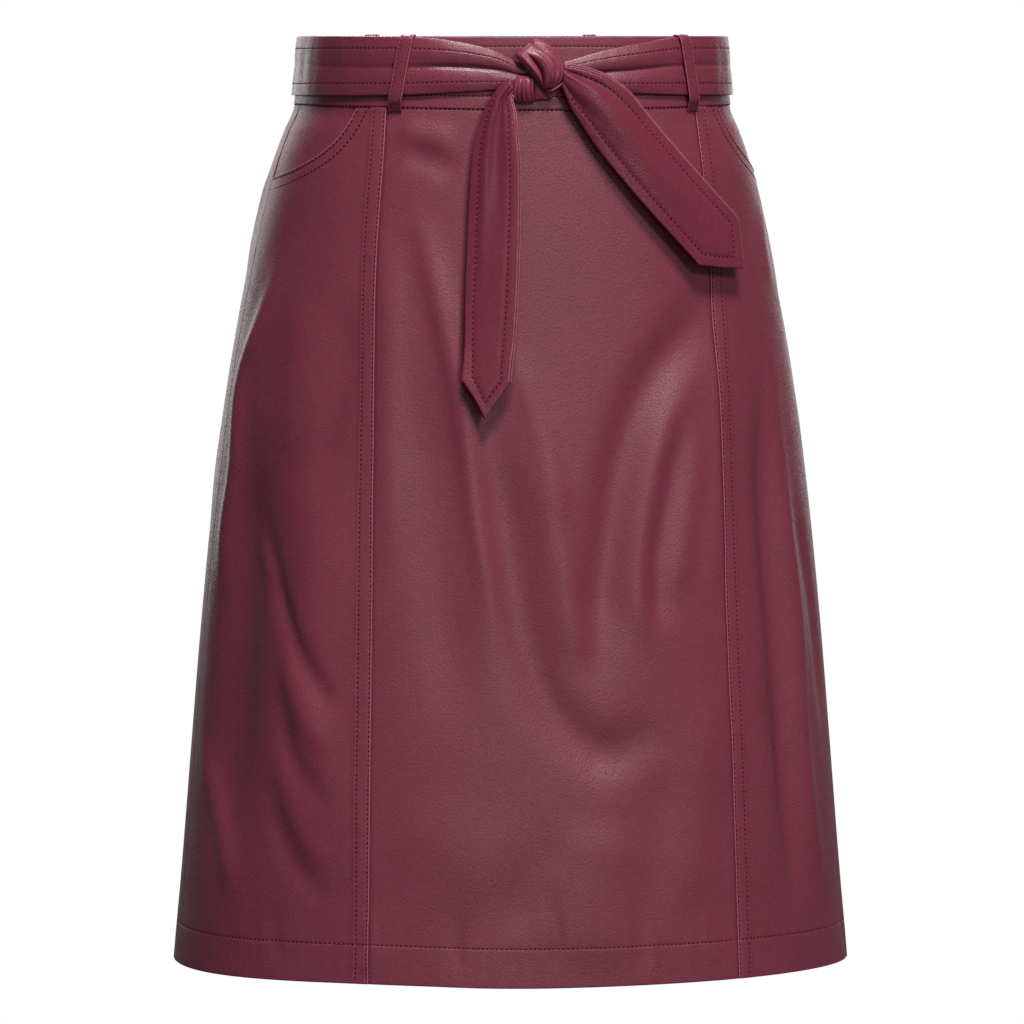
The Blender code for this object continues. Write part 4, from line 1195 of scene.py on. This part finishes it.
# the tails, section by section down to their corners: across, drop, half width, slant of the run,
# lift of the right edge, of the left edge, and the crown between them
tailTables = {
    "right": np.array((
        (-0.0270, 0.0320, 0.0045, -63, 0.0072, 0.0078, 0.0030),
        (-0.0335, 0.0405, 0.0058, -8, 0.0056, 0.0092, 0.0034),
        (-0.0355, 0.0500, 0.0090, 0, 0.0042, 0.0104, 0.0034),
        (-0.0380, 0.0700, 0.0130, 0, 0.0040, 0.0112, 0.0022),
        (-0.0390, 0.0940, 0.0150, 0, 0.0042, 0.0112, 0.0014),
        (-0.0420, 0.1620, 0.0160, -3, 0.0052, 0.0104, 0.0010),
        (-0.0465, 0.2280, 0.0158, -6, 0.0072, 0.0096, 0.0008),
    )),
    "left": np.array((
        (0.0070, 0.0270, 0.0070, 82, 0.0078, 0.0084, 0.0016),
        (0.0170, 0.0350, 0.0132, 68, 0.0062, 0.0088, 0.0026),
        (0.0275, 0.0430, 0.0172, 60, 0.0060, 0.0090, 0.0030),
        (0.0380, 0.0535, 0.0196, 52, 0.0062, 0.0088, 0.0032),
        (0.0505, 0.0690, 0.0200, 44, 0.0066, 0.0074, 0.0032),
        (0.0735, 0.0955, 0.0205, 41, 0.0078, 0.0070, 0.0026),
        (0.1130, 0.1380, 0.0212, 43, 0.0092, 0.0076, 0.0016),
    )),
}
tailLook = {
    "right": {"tip": 25 * mm, "full": 15.8 * mm, "row": 5.6 * mm, "stations": 96},
    "left": {"tip": 25 * mm, "full": 20.5 * mm, "row": 6.4 * mm, "stations": 96},
    "puff": (0.5 * mm, 3.5 * mm),         # height and width of the fuller middle's rise
    "dents": (0.05 * mm, 4 * mm),
    "grown": 0.03,                        # the run from the knot over which they come up
    "marks": (2.0, 3.2),                  # grid lines between the edge and the sewn row, in mm
    "inner": (1.9, 3.2, 7),               # the next past the row, the even ones' start, and how many
    "ends": (9, 12),                      # grid lines that follow the point, in mm
    "gaps": (2.2 * mm, 2.5 * mm),         # from the even rows to those at either end
    "pointed": 0.45,                      # the share of the length over which the rows turn pointed
}
# gathers that run down a tail from the knot: place across from -1 to 1, where they start and
# end along it in metres, half width as a share of the tail's, and height
tailGathers = {
    "right": (
        (0.16, 0.000, 0.120, 0.34, -0.0026), (-0.42, 0.004, 0.150, 0.20, 0.0015),
        (0.30, 0.000, 0.034, 0.12, 0.0014), (-0.10, 0.000, 0.030, 0.10, 0.0012),
        (0.66, 0.000, 0.040, 0.12, -0.0010),
    ),
    "left": (
        (-0.05, 0.006, 0.150, 0.34, 0.0020), (0.58, 0.000, 0.060, 0.15, -0.0022),
        (-0.55, 0.000, 0.040, 0.16, -0.0012), (0.28, 0.000, 0.040, 0.14, 0.0010),
    ),
}
gatherShape = {"grows": 0.25, "begins": 0.35, "fades": 0.7}     # how it comes and goes along its length


def tailAlong(word):
    # how far along its run each section lies, and the way to its corners
    table = tailTables[word]
    places = np.concatenate(([0.0], np.cumsum(np.hypot(np.diff(table[:, 0]), np.diff(table[:, 1])))))
    return places / places[-1], places[-1]


def tailPlace(word, u, run, lift):
    # u across from -1 to 1, run in metres from the knot; past the corners it goes straight on
    table, (places, length) = tailTables[word], tailAlong(word)
    at = np.minimum(run / length, 1.0)
    across, drop, half, slant, right, left, crown = [through(places, column, at) for column in table.T]
    past = np.maximum(run - length, 0.0)
    angle = np.radians(slant)
    rise = between(right, left, (u + 1) / 2) + crown * (1 - u * u)
    for place, start, end, wide, height in tailGathers[word]:
        share = (run - start) / (end - start)
        grown = ease(share / gatherShape["grows"] + gatherShape["begins"])
        grown = grown * ease((1 - share) / gatherShape["fades"])
        rise = rise + height * bump(u - place, wide) * grown
    a = across + u * half * np.cos(angle) + past * np.sin(angle)
    d = drop - u * half * np.sin(angle) + past * np.cos(angle)
    return lifted(turnAt(a, d), d, rise + lift)


def tailHalf(word, run):
    places, length = tailAlong(word)
    return through(places, tailTables[word][:, 2], np.minimum(run / length, 1.0))


def tailGrid(word):
    # u, run and distance from the edge, as grids down to the point
    look, (_, length) = tailLook[word], tailAlong(word)
    full, tip, (past, start, count) = look["full"], look["tip"], tailLook["inner"]
    marks = look["row"] + np.array((*rowMarks[1:-1], past)) * mm
    near = np.concatenate((edgeSteps, np.array(tailLook["marks"]) * mm, marks))
    edge = np.array((*near, *np.linspace(look["row"] + start * mm, full, count, endpoint=False)))
    u = np.concatenate((-1 + edge / full, [0.0], 1 - edge[::-1] / full))
    lean = math.hypot(full, tip) / full
    ends = np.concatenate((near, np.array(tailLook["ends"]) * mm)) * lean
    first, last = tailLook["gaps"]
    middle = np.linspace(first, length - ends[-1] - last, look["stations"])
    u, run = np.meshgrid(u, np.concatenate((edgeSteps, middle, length - ends[::-1])))
    point, pointed = tip * (1 - np.abs(u)), tailLook["pointed"] * length
    share = np.where(run > length - ends[-1] - 3 * mm, 1.0, ease((run - pointed) / pointed))
    reach = run + point * share
    away = np.minimum((1 - np.abs(u)) * tailHalf(word, reach), (length + point - reach) / lean)
    return u, reach, away


def tailRelief(word, run, away):
    # the sewn row's groove, the fuller middle inside it and the dents beside it
    row, (puff, rise), (dent, reach) = tailLook[word]["row"], tailLook["puff"], tailLook["dents"]
    fromRow = away - row * tailHalf(word, run) / tailLook[word]["full"]
    grown = ease(run / tailLook["grown"])
    dents = pucker(run, 11) * dent * bump(away - row, reach)
    return (groove(fromRow) + ease(fromRow / rise) * puff) * grown + dents


rimLook = {
    "radius": 0.80 * mm,
    "beads": ((0.15 * mm, 1.75 * mm), (1.75 * mm, 0.95 * mm)),      # how far out, and lift
    "ends": (5 * mm, 1 * mm),  # where they begin and how far short of the corner they end
    "gap": 2 * mm,
    "taper": 1.25 * mm,
    "sides": 9,
    "stations": 110,
    # how strong the painted highlight is on each bead's top
    "worn": 0.8,
    # how far they stand out, at the knot and at the end
    "fade": {"right": (1.0, 1.0), "left": (1.0, 0.35)},
}


def tailRim(word, out, lift):
    # the turned edge of one ply, a bead along the tail's upper side
    length = tailAlong(word)[1]
    (first, short), gap = rimLook["ends"], rimLook["gap"]
    middle = np.linspace(first + gap, length - short - gap, rimLook["stations"])
    run = np.concatenate((first + edgeSteps, middle, length - short - edgeSteps[::-1]))
    ones, raised = np.ones_like(run), np.full_like(run, lift)
    place = tailPlace(word, ones, run, raised)
    sideways = unit(place - tailPlace(word, ones * 0.97, run, raised))
    outward = unit(np.cross(np.gradient(place, axis=0), sideways))
    outward *= np.sign((outward * unit(place * (1, 1, 0))).sum(1))[:, None]
    place = place + sideways * (out * between(*rimLook["fade"][word], run / length))[:, None]
    radius = rimLook["radius"] * roundEdge(np.minimum(run - run[0], run[-1] - run), rimLook["taper"])
    angle = np.linspace(math.pi, 0, rimLook["sides"])
    flat = sideways[:, None] * (radius[:, None] * np.cos(angle))[..., None]
    tall = outward[:, None] * (radius[:, None] * np.sin(angle))[..., None]
    # painted highlight: the bead's top is lighter, where it would catch the light
    worn = rimLook["worn"] * np.sin(angle) ** 2
    return place[:, None] + flat + tall, place[:, None] + flat - tall, worn


tails = {}
for word in ("right", "left"):
    u, run, away = tailGrid(word)
    swell = plySwell(np.minimum(away, run))
    relief = tailRelief(word, run, away)
    low, high = plyLook["low"], plyLook["high"]
    plies = [
        (tailPlace(word, u, run, low + swell), tailPlace(word, u, run, low - swell)),
        (tailPlace(word, u, run, high + swell + relief), tailPlace(word, u, run, high - swell))]
    rims = [tailRim(word, *bead) for bead in rimLook["beads"]]
    # the tails' darker leather copy is painted shade
    tails[word] = pillow(f"tail_{word}_cloth", plies + rims, tailShadedLeather)
    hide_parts(f"tail_{word}")
print("tails made")


# the knot: lobes of gathered strap, each drawn between a left and a right line down the body

# across and drop of the left line and of the right line, base, wall at the edges, crown; in mm
knotLobes = {
    "wrap": np.array((
        (-24.2, 11.6, -14.2, 4.7, 6.6, 1.6, 0.6), (-23.1, 14.7, -10.1, 8.0, 7.6, 2.0, 2.2),
        (-20.0, 19.0, -5.1, 10.9, 8.2, 2.2, 3.6), (-16.0, 23.6, -0.4, 14.4, 8.4, 2.3, 4.4),
        (-12.7, 27.6, 2.6, 20.3, 8.2, 2.3, 4.6), (-9.7, 31.3, 2.2, 27.3, 7.6, 2.2, 4.0),
        (-7.3, 34.3, -0.9, 32.3, 6.6, 1.8, 2.8), (-5.7, 36.3, -4.3, 36.3, 5.4, 1.0, 0.8))),
    "second": np.array((
        (-14.5, 7.0, -11.4, 2.2, 4.8, 1.4, 0.4), (-13.9, 9.6, -6.4, 3.3, 5.2, 1.8, 1.2),
        (-11.2, 14.3, 0.1, 6.7, 5.2, 2.2, 2.2), (-7.2, 18.9, 5.8, 12.3, 5.0, 2.4, 2.8),
        (-5.2, 23.5, 9.7, 19.3, 4.8, 2.4, 3.1), (-4.6, 28.2, 9.8, 25.6, 4.7, 2.4, 3.0),
        (-4.6, 32.2, 7.0, 30.9, 4.4, 2.0, 2.2), (-3.9, 35.5, 2.9, 34.8, 4.0, 1.2, 0.8))),
    "lip": np.array((
        (8.7, 27.6, 10.1, 28.8, 5.4, 1.6, 0.4), (5.0, 31.8, 6.3, 33.6, 5.4, 2.0, 0.9),
        (0.2, 34.8, 1.2, 36.9, 5.0, 2.0, 1.0), (-4.2, 36.0, -3.8, 38.2, 4.6, 1.4, 0.5))),
    "under": np.array((
        (-21.9, 26.1, -13.1, 26.0, 4.8, 1.2, 1.2), (-24.7, 29.5, -11.6, 29.5, 4.9, 1.9, 2.8),
        (-26.1, 33.4, -11.6, 33.5, 4.7, 2.1, 3.3), (-26.4, 37.4, -11.5, 37.4, 4.2, 2.1, 2.9),
        (-26.0, 41.4, -11.0, 41.4, 3.5, 1.8, 1.8), (-24.7, 43.9, -10.9, 44.1, 3.0, 1.2, 0.6))),
    "tuck": np.array((
        (-11.6, 28.6, -8.9, 30.4, 4.6, 0.9, 0.3), (-11.6, 32.1, -7.2, 34.4, 4.5, 1.3, 0.6),
        (-11.5, 36.1, -3.5, 37.9, 4.1, 1.3, 0.8), (-11.2, 39.7, 0.5, 40.2, 3.5, 1.2, 0.7),
        (-10.7, 42.1, 1.6, 41.7, 3.1, 0.8, 0.3))),
}
# radii of the rounded sides in mm: left, right, start, end
knotRounds = {
    "wrap": (2.6, 1.5, 2.6, 2.2), "second": (2.0, 2.6, 2.4, 2.6), "lip": (0.9, 1.1, 2.4, 1.6),
    "under": (2.0, 1.1, 3.4, 1.8), "tuck": (0.8, 1.0, 1.6, 1.4),
}
# folds: share across at their start and end, share along of their start and end, width, height in mm
knotFolds = {
    "wrap": ((0.84, 0.66, 0.20, 0.86, 0.045, -0.75), (0.74, 0.56, 0.22, 0.80, 0.050, 0.45),
             (0.20, 0.14, 0.06, 0.80, 0.070, 0.40), (0.93, 0.80, 0.10, 0.95, 0.030, 0.35)),
    "second": ((0.80, 0.70, 0.20, 0.90, 0.050, -0.55), (0.90, 0.85, 0.05, 0.85, 0.045, 0.30),
               (0.62, 0.58, 0.30, 0.85, 0.040, 0.35)),
    "lip": (),
    "under": ((0.35, 0.38, 0.06, 1.00, 0.030, -0.85), (0.46, 0.47, 0.05, 0.98, 0.055, 0.55),
              (0.57, 0.57, 0.10, 0.95, 0.028, -0.70), (0.72, 0.70, 0.12, 0.90, 0.060, 0.35),
              (0.83, 0.84, 0.04, 1.00, 0.024, -0.80), (0.92, 0.92, 0.04, 1.00, 0.045, 0.55),
              (0.16, 0.18, 0.10, 1.00, 0.045, -0.45)),
    "tuck": ((0.88, 0.90, 0.02, 1.00, 0.110, 1.30), (0.55, 0.62, 0.10, 1.00, 0.120, -0.60)),
}
# the crease that parts the wrap's roll from its lobe: where it lies across, down the wrap
wrapCrease = {
    "share": np.array((0.48, 0.46, 0.45, 0.40, 0.35, 0.27, 0.17, 0.12)),
    "from": 0.11, "grown": 0.38, "roll": 0.60, "depth": 2.0, "at": 0.48, "width": 0.035,
    "rollFlat": 0.8, "lobeSkew": 0.72, "lobeFlat": 0.75,
}
knotGrid = {"rows": 84, "columns": 72, "crowd": 0.8, "under": 1.2, "flat": 0.7, "fade": 0.14, "least": 0.5}


def lobeShares(count):
    # closer together towards both ends
    t = np.linspace(0, 1, count)
    return between(t, (1 - np.cos(math.pi * t)) / 2, knotGrid["crowd"])


def knotLobe(name):
    table = knotLobes[name]
    s, v = np.meshgrid(lobeShares(knotGrid["rows"]), lobeShares(knotGrid["columns"]), indexing="ij")
    known = np.linspace(0, 1, len(table))
    leftA, leftD, rightA, rightD, base, rim, crown = [through(known, column, s) for column in table.T]
    u, hump = v, np.sin(math.pi * v) ** knotGrid["flat"]
    if name == "wrap":
        at = through(known, wrapCrease["share"], s)
        u = np.where(v < 0.5, at * v * 2, at + (1 - at) * (v * 2 - 1))
        split = ease((s - wrapCrease["from"]) / (wrapCrease["grown"] - wrapCrease["from"]))
        roll = wrapCrease["roll"] * np.sin(math.pi * np.clip(v * 2, 0, 1)) ** wrapCrease["rollFlat"]
        skewed = np.clip(v * 2 - 1, 0, 1) ** wrapCrease["lobeSkew"]
        lobe = np.sin(math.pi * skewed) ** wrapCrease["lobeFlat"]
        parted = np.where(v < 0.5, roll, lobe)
        dip = wrapCrease["depth"] * bump(v - wrapCrease["at"], wrapCrease["width"]) * (crown / crown.max())
        plain = np.sin(math.pi * u) ** knotGrid["flat"]
        hump = between(plain, parted, split) - split * dip / np.maximum(crown, knotGrid["least"])
    across, drop = between(leftA, rightA, u), between(leftD, rightD, u)
    width = np.hypot(rightA - leftA, rightD - leftD)
    middle = (table[:, 0:2] + table[:, 2:4]) / 2
    length = np.hypot(*np.diff(middle, axis=0).T).sum()
    for first, last, start, end, wide, height in knotFolds[name]:
        inside = ease((s - start) / knotGrid["fade"]) * ease((end - s) / knotGrid["fade"])
        fold = height / np.maximum(crown, knotGrid["least"]) * bump(u - between(first, last, s), wide)
        hump = hump + fold * inside
    left, right, start, end = knotRounds[name]
    rounded = roundEdge(u * width, left) * roundEdge((1 - u) * width, right)
    rounded *= roundEdge(s * length, start) * roundEdge((1 - s) * length, end)
    turn = turnAt(across * mm, drop * mm)
    face = lifted(turn, drop * mm, (base + (rim + crown * hump) * rounded) * mm)
    back = lifted(turn, drop * mm, (base - knotGrid["under"] * rounded) * mm)
    return face, back


# the knot's lighter leather copy is a painted highlight
knotOver = pillow("knot_over_cloth", [knotLobe(name) for name in ("wrap", "second", "lip")], knotLitLeather)
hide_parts("knot_over")
knotUnder = pillow("knot_under_cloth", [knotLobe(name) for name in ("under", "tuck")], knotLitLeather)
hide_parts("knot_under")
print("knot made")


# sewing: every row is a run of short bent stitches that dip into the leather at both ends

stitchLook = {
    "length": 0.66,            # of the pitch
    "thick": 0.54 * mm,
    "sunk": 0.26 * mm,
    "proud": 0.19 * mm,
    "slant": 0.10 * mm,
    "taper": 0.72,
    "hole": (0.82 * mm, 0.68 * mm, 0.11 * mm),    # half length, half width, lift over the groove
    "sides": (5, 8),                              # of a stitch and of a hole
    "inset": 0.8 * mm,                            # how far from a seam a row along the hem begins
}
stitchSteps = np.array((-1.0, -0.62, 0.0, 0.62, 1.0))
stitchSides, holeSides = stitchLook["sides"]


def circle(count):
    angle = 2 * math.pi * np.arange(count) / count
    return np.cos(angle)[:, None], np.sin(angle)[:, None]


def stitchRow(line, pitch):
    # a line of points and of outward directions, turned into rings of stitches and of holes
    points, outward = line
    look = stitchLook
    gone = np.concatenate(([0.0], np.cumsum(np.linalg.norm(np.diff(points, axis=0), axis=1))))
    count = max(int(round(gone[-1] / pitch)), 1)
    step = gone[-1] / count

    def ways(middles, offsets):
        at = middles[:, None] + offsets
        place, up = [np.stack([np.interp(at, gone, row) for row in rows.T], -1) for rows in (points, outward)]
        up, along = unit(up), unit(np.gradient(place, axis=1))
        return place, up, along, unit(np.cross(along, up))

    offsets = stitchSteps * look["length"] * pitch / 2
    place, up, along, sideways = ways((np.arange(count) + 0.5) * step, offsets)
    tuck = stitchSteps**2
    place = place + up * between(look["proud"], -look["sunk"], tuck)[:, None]
    place = place + sideways * (stitchSteps * look["slant"])[:, None]
    radius = look["thick"] / 2 * np.sqrt(1 - look["taper"] * tuck**2)
    cos, sin = circle(stitchSides)
    rings = place[:, :, None] + (up[:, :, None] * cos + sideways[:, :, None] * sin) * radius[:, None, None]
    long, wide, lift = look["hole"]
    holes = ways(np.arange(1, count) * step, np.array((-long, 0, long)))
    place, up, along, sideways = [rows[:, 1, None] for rows in holes]
    cos, sin = circle(holeSides)
    return rings, place + up * lift + along * cos * long + sideways * sin * wide


def stitches(name, lines, pitch):
    # one mesh of all the stitches along these lines, with near-black discs between them, painted shade for
    # the stitch holes
    rings, holes = [np.concatenate(part) for part in zip(*(stitchRow(line, pitch) for line in lines))]
    count, each = len(rings), len(stitchSteps) * stitchSides
    starts = np.arange(count)[:, None, None] * each
    around = (gridFaces(len(stitchSteps), stitchSides, wrapColumns=True) + starts).reshape(-1, 4)[:, ::-1]
    caps = np.stack((np.arange(stitchSides), np.arange(stitchSides)[::-1] + each - stitchSides))
    caps = (caps + starts).reshape(-1, stitchSides)
    pits = count * each + np.arange(holes.shape[0] * holeSides).reshape(-1, holeSides)
    points = np.concatenate((rings.reshape(-1, 3), holes.reshape(-1, 3)))
    piece = makePiece(name, points, around.tolist() + caps.tolist() + pits.tolist(), (thread,))
    # the thread's ends and the discs take the near-black painted shade
    tuck = np.tile(np.repeat(stitchSteps**2, stitchSides), count)
    mark(piece, "tuck", np.concatenate((tuck, np.ones(pits.size))))


def alongSurface(points, turn, drop):
    return points, bodyFrame(np.asarray(turn, float), np.asarray(drop, float))[3]


def panelLine(strip, distance, drop, lift):
    distance, drop, lift = np.broadcast_arrays(distance, drop, lift)
    return alongSurface(strip.at(distance, drop, lift), strip.side * strip.turn(distance, drop), drop)


hemDrop = skirt["length"] - panelLook["hemRow"]


def rowPlaces(first, last):
    return np.linspace(first, last, int((last - first) / (1.6 * mm)) + 2)


def hemLine(strip, relief, first=stitchLook["inset"], last=stitchLook["inset"]):
    # a row along the hem, short of the strip's edges by this much
    across = rowPlaces(first, strip.width(hemDrop) - last)
    down = np.full_like(across, hemDrop)
    return panelLine(strip, across, down, relief(across, down))


seamLines, pocketLines = [], []
hemLines = [hemLine(frontStrip, frontRelief, 2.9 * mm, 2.9 * mm)]
for side in (-1, 1):
    strip, relief = sideStrips[side], sideRelief(side)
    foot = bandHeight(strip.turn(2 * mm, 0.05))
    drop = rowPlaces(foot + 0.4 * mm, skirt["length"] - 0.4 * mm)
    for row in panelLook["lapRows"]:
        at = np.full_like(drop, row)
        seamLines.append(panelLine(strip, at, drop, lapLift(at) + relief(at, drop)))
    hemLines.append(hemLine(strip, lambda a, d: lapLift(a) + relief(a, d), last=0.6 * mm))
    for row in pocketLook["rows"]:
        across, down = mouthPath(side, row)
        pocketLines.append(panelLine(strip, across, down, relief(across, down) + pocketLook["proud"]))
    hemLines.append(hemLine(backStrips[side], lambda a, d: groove(0 * a)))


def bandLine(turns, drop, lift):
    return alongSurface(lifted(turns, drop, lift), turns, drop)


bandLines = []
for turns, atTop in ((np.linspace(-28, 28, 120), True), (np.linspace(-58, 58, 240), False)):
    foot = bandHeight(turns)
    drop = np.full_like(foot, bandLook["rowTop"]) if atTop else foot - bandLook["rowFoot"]
    bandLines.append(bandLine(turns, drop, bandLook["lift"] + bandRelief(turns, drop, foot)))
turns = np.linspace(-179.8, 179.8, 720)
bandLines.append(bandLine(turns, bandHeight(turns) + 0.5 * mm, np.full_like(turns, -0.14 * mm)))

beltLines, loopLines = [], []
strapTop = plyLook["high"] + plyLook["ply"] / 2
turns = np.linspace(-357.4, -6.6, 900)
for place in (beltLook["row"], beltLook["full"] - beltLook["row"]):
    at = np.full_like(turns, place)
    beltLines.append(alongSurface(beltPlace(turns, at, (1.0, strapTop + groove(0.0))), turns, at))
for word, top, foot in loopTable:
    rows = np.array((-1, 1)) * (loopLook["width"] / 2 - loopLook["row"])
    lift = np.full((loopLook["rows"], 2), groove(0.0) * loopLook["rowDepth"])
    points = loopPoints(top, foot, rows, lift)
    outward = loopPoints(top, foot, rows, lift + mm) - points
    loopLines += [(points[3:-2, k], unit(outward[3:-2, k])) for k in (0, 1)]

tailLines = []
for word in ("right", "left"):
    look, (_, length) = tailLook[word], tailAlong(word)
    full, row = look["full"], look["row"]
    edge, lean = 1 - row / full, math.hypot(full, look["tip"]) / full
    run = rowPlaces(8 * mm, length + look["tip"] * (1 - edge) - row * lean)
    u = np.linspace(-edge, edge, 41)[1:-1]
    tip = length + look["tip"] * (1 - np.abs(u)) - row * lean
    u = np.concatenate((np.full_like(run, -edge), u, np.full_like(run, edge)))
    run = np.concatenate((run, tip, run[::-1]))
    lift = strapTop + tailRelief(word, run, row * tailHalf(word, run) / full)
    points = tailPlace(word, u, run, lift)
    tailLines.append((points, unit(tailPlace(word, u, run, lift + mm) - points)))

rowTable = (
    ("seam", seamLines, 3.2), ("hem", hemLines, 3.2), ("pocket", pocketLines, 3.4),
    ("waistband", bandLines, 3.1), ("belt", beltLines, 3.3), ("loop", loopLines, 3.0),
    ("tail", tailLines, 3.6),
)
for word, lines, pitch in rowTable:
    stitches(f"{word}_stitches", lines, pitch * mm)
print("sewing made")


# the zip's slider and pull tab keep their solids, in lacquered metal
for name in ("zip_slider", "zip_tab"):
    for held in bpy.data.objects[name].material_slots:
        held.material = lacquer

# what each piece was cut to: its seams, hem and turnings, and the belt's parts
cutLook = {
    "seam": 12 * mm,
    "hem": 28 * mm,
    "under": 10 * mm,
    "facing": (88 * mm, 66 * mm),
    "strap": 2 * (beltLook["full"] + 8 * mm),     # two plies, unfolded
    "tailTurning": 8 * mm,
    "loop": (10.5 * mm, 62 * mm),
    "knotOver": (36 * mm, 40 * mm),
    "knotUnder": (24 * mm, 26 * mm),
}


def declarePanel(strip):
    # a panel widens from the band's foot down to the hem
    narrow, wide = [strip.width(drop) + 2 * cutLook["seam"] for drop in (skirt["bandSide"], skirt["length"])]
    long = skirt["length"] - skirt["bandSide"] + cutLook["hem"] + cutLook["under"]
    float((wide + narrow) / 2 * long)


declarePanel(frontStrip)
for side, word in sides:
    declarePanel(sideStrips[side])
    declarePanel(backStrips[side])
ring = lifted(bandTurns, bandFoot / 2, np.zeros_like(bandTurns))
waist = float(np.linalg.norm(np.diff(ring, axis=0), axis=1).sum())
bandTall = 2 * (skirt["bandFront"] + cutLook["under"])
waist + 2 * cutLook["seam"]
for word, piece in tails.items():
    wide = 2 * (2 * tailLook[word]["full"] + cutLook["tailTurning"])


# floor, light and camera

studio = {
    "floor": -1.06,
    "reach": 2.4,
    "aim": (0.0, 0.0, -0.3235),
    "azimuth": -12.5,
    "distance": 4.4,
    "eye": 0.0,               # the camera is level with the waist's top
    "lens": 227.6,
    "paper": ((0.86, 0.86, 0.86), (0.88, 0.88, 0.88)),
    "glow": 0.35,
    "fill": 0.15,
    # azimuth, height, distance, width, height of the panel, watts
    "lamps": (
        (0, 4.2, 2.6, 1.3, 1.0, 350),
        (16, 1.6, 3.4, 0.9, 0.6, 50),
        (8, -0.5, 3.0, 0.9, 0.4, 5),
        (143, 0.2, 2.6, 1.3, 1.4, 10),
        (-165, 0.2, 2.6, 1.3, 1.4, 12),
        (176, 3.0, 3.4, 1.2, 1.0, 150),
    ),
}


def spot(azimuth, distance, height):
    angle = math.radians(azimuth)
    return (distance * math.sin(angle), -distance * math.cos(angle), height)


def aimAt(thing, place):
    toward = Vector(place) - thing.location
    thing.rotation_euler = toward.to_track_quat("-Z", "Y").to_euler()


def makeStage():
    reach, count = studio["reach"], 64
    angle = 2 * math.pi * np.arange(count) / count
    level = np.full(count, studio["floor"])
    rings = [np.stack((r * reach * np.cos(angle), r * reach * np.sin(angle), level), -1)
             for r in (0.08, 0.3, 1.0)]
    faces = [tuple(range(count)), *gridFaces(3, count, wrapColumns=True).tolist()]
    mesh = bpy.data.meshes.new("floor")
    mesh.from_pydata(np.concatenate(rings).tolist(), [], faces)
    floor = bpy.data.objects.new("floor", mesh)
    bpy.context.scene.collection.objects.link(floor)
    paper = Finish("paper", Roughness=0.9, Specular_IOR_Level=0.1, Emission_Strength=studio["glow"])
    tone = paper.noise(0.6, 2).within(0.3, 0.7)
    paper.put(Base_Color=tone.mixed(*studio["paper"]), Emission_Color=(1.0, 1.0, 1.0))
    mesh.materials.append(paper.material)
    floor.visible_diffuse = floor.visible_glossy = False      # it throws no light on the cloth


def makeLight():
    for number, (azimuth, height, distance, wide, tall, watts) in enumerate(studio["lamps"]):
        lamp = bpy.data.lights.new(f"softbox_{number}", "AREA")
        lamp.shape, lamp.size, lamp.size_y, lamp.energy = "RECTANGLE", wide, tall, watts
        thing = bpy.data.objects.new(lamp.name, lamp)
        thing.location = spot(azimuth, distance, height)
        bpy.context.scene.collection.objects.link(thing)
        aimAt(thing, studio["aim"])
    world = bpy.data.worlds.new("studio")
    bpy.context.scene.world = world
    world.use_nodes = True
    tree = world.node_tree
    tree.nodes.clear()
    start = Value(tree, None)
    seen = start.node("ShaderNodeLightPath")
    white, fill = [start.node("ShaderNodeBackground", {}, {"Color": (1, 1, 1, 1), "Strength": strength})
                   for strength in (1.0, studio["fill"])]
    mixed = start.node("ShaderNodeMixShader", {}, {0: seen, 1: fill, 2: white})
    tree.links.new(mixed.socket, tree.nodes.new("ShaderNodeOutputWorld").inputs["Surface"])


def makeCamera():
    camera = bpy.data.cameras.new("camera")
    camera.lens, camera.sensor_width = studio["lens"], 36.0
    camera.clip_end = 100.0
    eye = bpy.data.objects.new("camera", camera)
    eye.location = spot(studio["azimuth"], studio["distance"], studio["eye"])
    bpy.context.scene.collection.objects.link(eye)
    aimAt(eye, studio["aim"])
    bpy.context.scene.camera = eye


makeStage()
makeLight()
makeCamera()
bpy.context.scene.view_settings.view_transform = "Standard"
print("studio set")
